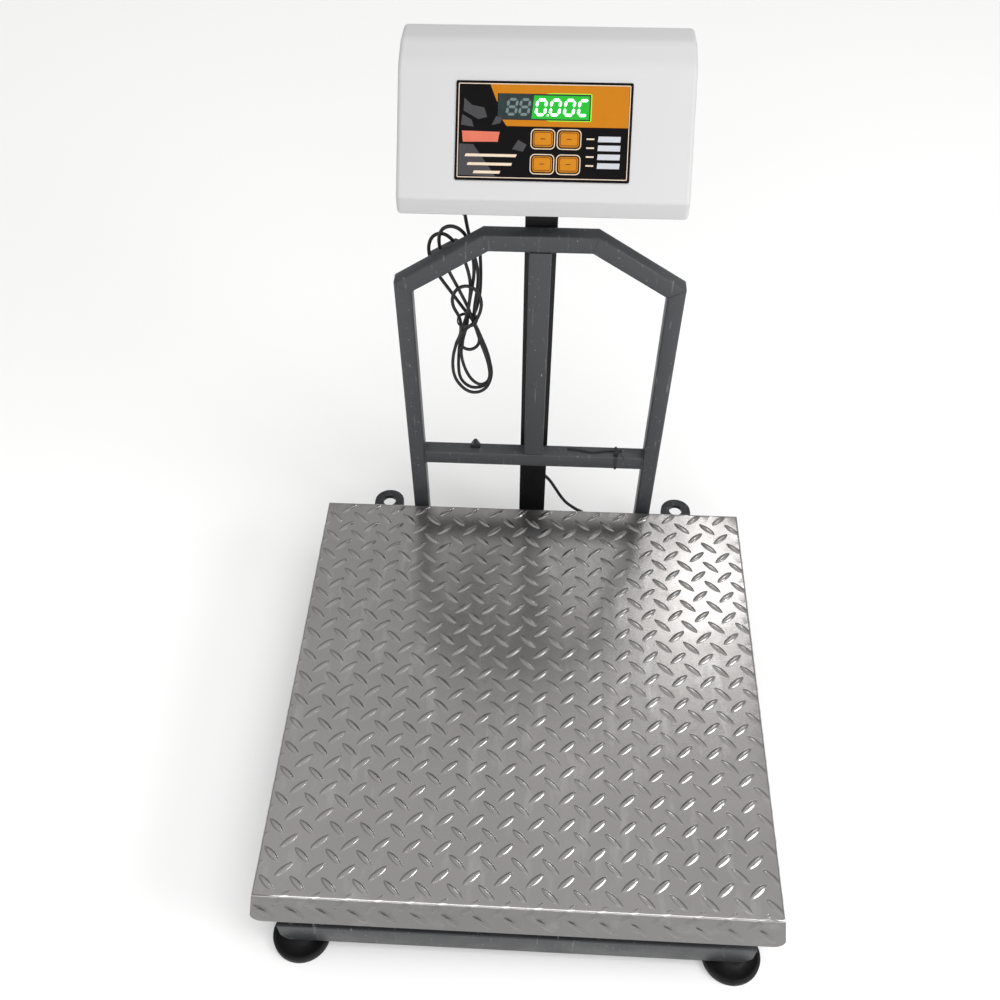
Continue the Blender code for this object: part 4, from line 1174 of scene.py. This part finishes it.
# One pass of the cord after another: depth and then places across and up from the pan's top, in millimetres.
HANK_PASSES = (
    (239.5, ((-76, 390.9), (-76, 384), (-75.6, 374), (-73, 356))),
    (236.5, ((-69.2, 335), (-67.4, 305.4), (-72, 275.5), (-75.2, 254.8), (-76, 240.8), (-82.2, 217))),
    (236.5, ((-83.6, 200), (-80.6, 181.4), (-73.5, 164), (-62.5, 155), (-52.8, 164.5), (-54, 188))),
    (236.5, ((-63, 221), (-68.4, 244.5), (-67.6, 263.7), (-63.9, 289.1), (-63.2, 305.5), (-66, 325))),
    (232, ((-71.5, 345), (-78.5, 358), (-89.5, 363), (-99, 357.5), (-101.5, 344), (-98.5, 326))),
    (232, ((-92.5, 309.5), (-84.2, 290.2), (-75.6, 268), (-67.5, 242), (-59, 216), (-51.6, 192))),
    (232, ((-50.3, 172.8), (-56.5, 154.8), (-68.9, 147.3), (-81.5, 152.9), (-92, 172), (-92.3, 199.9))),
    (232, ((-84, 228), (-75, 260), (-71, 289), (-73, 310), (-79, 329))),
    (240.5, ((-87.5, 342), (-97.5, 349.5), (-108, 346), (-113.2, 333), (-111.5, 315.3), (-105.3, 300.2))),
    (240.5, ((-91.6, 277.4), (-80, 258.1), (-69.8, 242), (-61.2, 219.6), (-53.6, 193.8), (-51.6, 168.8))),
    (240.5, ((-58.1, 151.7), (-73.5, 147.6), (-85.6, 160), (-87.6, 181.1), (-85.6, 209.6), (-83, 236))),
    (228, ((-84, 254.6), (-89.6, 268.2), (-90.1, 281.7), (-84.1, 292.5), (-73.9, 296.3), (-64.7, 290.8))),
    (228, ((-59.5, 276.9), (-61.5, 262.1), (-67, 250), (-79, 238), (-85, 223))),
    (240, ((-84, 210), (-74.5, 202.5), (-64.5, 209), (-64, 223))),
    (245, ((-71, 240), (-66.5, 254), (-62.6, 272), (-61.2, 292), (-61, 310), (-61.5, 326))),
    (245, ((-61.8, 342), (-59, 349.5), (-51.5, 353), (-44, 350), (-41.2, 342.5))),
    (249.3, ((-45, 335.6), (-52.5, 333.2), (-60.5, 335.4), (-68.1, 332.8))),
)


def pressed_apart(line):
    """Move strands that cross apart, mostly in depth, and keep the line smooth. All in millimetres."""
    home = line.copy()
    need = 2000 * CORD_RADIUS + STRAND_GAP
    count = len(line)
    near = np.abs(np.arange(count)[:, None] - np.arange(count)[None, :]) <= 5
    for _ in range(500):
        gap = line[:, None, :] - line[None, :, :]
        far = np.linalg.norm(gap, axis=2) + near * 1000 + 1e-9
        i, j = np.nonzero(far < need)
        push = gap[i, j] * (1, 1.6, 1)
        push[:, 1] += np.where(np.abs(push[:, 1]) < 0.05, np.sign(j - i) * 0.05, 0)
        push *= ((need - far[i, j]) / np.linalg.norm(push, axis=1) * 0.30)[:, None]
        moved = np.zeros_like(line)
        np.add.at(moved, i, push)
        middle = np.zeros_like(line)
        middle[1:-1] = (line[:-2] + line[2:]) / 2 - line[1:-1]
        line = line + moved + middle * 0.25 + (home - line) * (0.09, 0.004, 0.09)
        line[:5], line[-5:] = home[:5], home[-5:]
    return line


def mains_cord(m):
    """The mains lead, coiled into a hank, tied at its waist, with its plug tucked in."""
    passes = [(x, depth, up) for depth, places in HANK_PASSES for x, up in places]
    line = pressed_apart(spaced(catmull(np.array(passes), 12), 3.0))
    line = spaced(catmull(line, 3), 2.0) / 1000 + (0, 0, PAN_TOP)
    points = [Vector(p) for p in line]
    exit_point = points[0]
    boot = strain_relief(m, exit_point)
    knot = hank_tie(m, line)
    cord = curve_cord("mains_lead", points, CORD_RADIUS, m["cord"], "base")
    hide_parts("mains_cord", "cord_hank")


def strain_relief(m, top):
    """A ribbed boot that narrows down to the cord."""
    length, ribs = 0.020, 6
    profile = [(0.0, 0.0)]
    for i in range(ribs * 4 + 1):
        share = i / (ribs * 4)
        rib = 0.00045 * (0.5 + 0.5 * math.cos(i * math.pi / 2))
        profile.append((0.0042 + (0.0023 - 0.0042) * share + rib * (1 - share * 0.6), -length * share))
    profile.append((0.0, -length - 0.0002))
    bm = bmesh.new()
    add_lathe(bm, profile, 32, Matrix.Translation(top))
    return finish_mesh("cord_boot", bm, [m["cord"]], "base", sharp=70)


def hank_tie(m, line):
    """Two turns of a thin tie round every strand at the hank's waist."""
    bands = [PAN_TOP + 0.001 * k for k in range(232, 254, 2)]
    waists = [line[np.abs(line[:, 2] - band) < 0.004] for band in bands]
    slimmest = int(np.argmin([np.ptp(waist[:, 0]) for waist in waists]))
    height, waist = bands[slimmest], waists[slimmest]
    low, high = waist.min(axis=0), waist.max(axis=0)
    centre, half = (low + high) / 2, (high - low) / 2 + CORD_RADIUS + 0.0011
    points = []
    steps = 96
    for step in range(steps + 1):
        turn = 4.1 * math.pi * step / steps
        x = centre[0] + half[0] * math.copysign(abs(math.cos(turn)) ** 0.8, math.cos(turn))
        y = centre[1] + half[1] * math.copysign(abs(math.sin(turn)) ** 0.8, math.sin(turn))
        points.append(Vector((x, y, height - 0.0016 + 0.0032 * step / steps)))
    bm = bmesh.new()
    add_tube(bm, points, lambda i, turn: 0.00085 * (1 + 0.15 * math.cos(2 * turn)), 10)
    return finish_mesh("hank_tie", bm, [m["tie"]], "base", sharp=60)


def curve_cord(name, points, radius, material, body):
    curve = bpy.data.curves.new(name, "CURVE")
    curve.dimensions = "3D"
    spline = curve.splines.new("POLY")
    spline.points.add(len(points) - 1)
    for target, point in zip(spline.points, points):
        target.co = (*point, 1.0)
    curve.bevel_depth = radius
    curve.bevel_resolution = 4
    curve.use_fill_caps = True
    curve.materials.append(material)
    obj = placed(name, curve)
    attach(obj, body)
    return obj


def cell_cable(m):
    """From the load cell, under the pan and up behind the post, as in the CAD."""
    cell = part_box("load_cell")[1].x
    entry_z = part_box("cable_gland")[0].z
    route = (
        (cell + 0.0012, 0.000, -0.048),
        (cell + 0.006, 0.000, -0.048),
        (0.094, 0.040, -0.054),
        (0.094, 0.140, -0.061),
        (0.080, 0.240, -0.061),
        (0.070, 0.285, -0.062),
        (0.066, 0.299, -0.058),
        (0.057, 0.306, -0.059),
        (0.041, 0.312, -0.049),
        (0.023, 0.3185, -0.022),
        (0.013, 0.3226, -0.012),
        (0.005, 0.3232, 0.010),
        (0.003, 0.3232, 0.070),
        (0.003, 0.3230, 0.190),
        (0.003, 0.3232, 0.310),
        (0.0035, 0.3285, 0.362),
        (0.004, 0.3345, entry_z - PAN_TOP - GAP),
    )
    points = smooth_route(np.array(route) + (0, PAN_Y, PAN_TOP), 0.004)
    cable = curve_cord("cell_lead", points, CABLE_RADIUS, m["cord"], "base")
    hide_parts("cell_cable")


def crossbar_ties(m):
    """A plastic tie round the crossbar, its cut tail and a spare end of wire along the top."""
    x, reach = 0.097, TUBE / 2 + 0.0011
    y, z = (CROSS_LOW.y + CROSS_HIGH.y) / 2, (CROSS_LOW.z + CROSS_HIGH.z) / 2
    bm = bmesh.new()
    loop = [(reach * px, reach * py) for px, py in rounded_box(1, 1, 0.22, 4)]
    inner = [(px * 0.93, py * 0.93) for px, py in loop]
    place = Matrix.Translation((x, y, z)) @ Matrix.Rotation(math.pi / 2, 4, "Y")
    add_ring(bm, loop, inner, -0.0013, 0.0013, place, 0)
    head = rounded_box(0.0024, 0.0021, 0.0006, 3)
    add_prism(bm, head, CROSS_HIGH.z + 0.0009, CROSS_HIGH.z + 0.0046, Matrix.Translation((x, y - 0.004, 0)))
    tail = []
    for i in range(7):
        rise = 0.0030 + 0.0012 * i * (2.2 - 0.3 * i)
        tail.append(Vector((x + 0.0015 * i, y - 0.004 - 0.0022 * i, CROSS_HIGH.z + rise)))
    add_tube(bm, tail, lambda i, turn: 0.0005, 8)
    finish_mesh("crossbar_tie", bm, [m["tie"]], "base", sharp=40)
    bm = bmesh.new()
    top = CROSS_HIGH.z + 0.0013
    wire = [(0.040, 0.003, 0.0), (0.052, 0.001, 0.0006), (0.070, -0.002, 0.0)]
    wire += [(0.086, 0.001, 0.0003), (0.104, 0.002, 0.0)]
    points = smooth_route([(along, y + across, top + up) for along, across, up in wire], 0.002)
    add_tube(bm, points, lambda i, turn: 0.0012, 10)
    finish_mesh("spare_wire", bm, [m["cord"]], "base", sharp=60)


# Camera, light and floor ----------------------------------------------------
def camera():
    """Looking down at the platform from where its user stands."""
    data = bpy.data.cameras.new("camera")
    data.sensor_width = 36
    data.lens = 37.535
    data.shift_x = 0.0108
    data.shift_y = 0.0858
    data.clip_end = 50
    obj = placed("camera", data)
    obj.location = (0.002865, -0.667924, 1.084927)
    obj.rotation_euler = [math.radians(a) for a in (37.6836, 0.4949, 3.1054)]
    bpy.context.scene.camera = obj


def area_light(name, place, target, size, power):
    data = bpy.data.lights.new(name, "AREA")
    data.shape = "RECTANGLE"
    data.size, data.size_y = size
    data.energy = power
    obj = placed(name, data)
    obj.location = place
    obj.rotation_euler = (Vector(target) - Vector(place)).to_track_quat("-Z", "Y").to_euler()


def sky_light():
    """Soft, even light from above that makes no highlights."""
    data = bpy.data.lights.new("sky", "SUN")
    data.energy = 1.45
    data.angle = math.radians(55)
    obj = placed("sky", data)
    obj.rotation_euler = (math.radians(12), math.radians(10), 0)
    obj.visible_glossy = False


def world():
    """Grey surroundings, lighter towards the top, which the metal mirrors."""
    made = bpy.data.worlds.new("studio")
    bpy.context.scene.world = made
    made.use_nodes = True
    tree = made.node_tree
    background = tree.nodes["Background"]
    coordinates = tree.nodes.new("ShaderNodeTexCoord")
    split = tree.nodes.new("ShaderNodeSeparateXYZ")
    ramp = tree.nodes.new("ShaderNodeValToRGB")
    tree.links.new(coordinates.outputs["Generated"], split.inputs[0])
    tree.links.new(split.outputs["Z"], ramp.inputs["Fac"])
    tree.links.new(ramp.outputs["Color"], background.inputs["Color"])
    stops = ((0.0, 0.32), (0.35, 0.26), (0.70, 0.42), (0.86, 0.56), (1.0, 0.62))
    ramp.color_ramp.elements[0].position, ramp.color_ramp.elements[1].position = stops[0][0], stops[-1][0]
    for position, value in stops[1:-1]:
        ramp.color_ramp.elements.new(position)
    for element, (position, value) in zip(ramp.color_ramp.elements, stops):
        element.position = position
        element.color = (value, value * 0.995, value * 0.985, 1)


def studio():
    world()
    sky_light()
    area_light("front", (-0.3, -3.3, 1.9), (0, 0, 0.3), (2.8, 1.6), 30)
    area_light("edge", (0, -2.6, 2.5), (0, -0.2, 0), (3.0, 0.22), 9)
    area_light("side", (1.75, -0.75, 1.5), (0, 0, 0.1), (1.1, 0.6), 17)
    area_light("window", (0.80, 2.15, 2.75), (0.18, 0.08, 0.13), (0.34, 0.55), 3.0)
    floor = Shader("floor", (0.93, 0.93, 0.93), 0.9)
    floor.color(floor.mix(floor.noise(2, 2), (0.925, 0.925, 0.925), (0.94, 0.94, 0.94)))
    bm = bmesh.new()
    bmesh.ops.create_grid(bm, x_segments=8, y_segments=8, size=9)
    obj = mesh_object("floor", bm)
    obj.data.materials.append(floor.material)
    bpy.context.scene.view_settings.view_transform = "Standard"


def main():
    camera()
    m = make_materials()
    finish_nodes(m)
    mains_cord(m)
    cell_cable(m)
    crossbar_ties(m)
    tread_pan(m)
    backrest_frame(m)
    weld_beads(m)
    foot_pads(m)
    head_shell(m)
    label_print(m)
    display(m)
    keys(m)
    studio()


main()
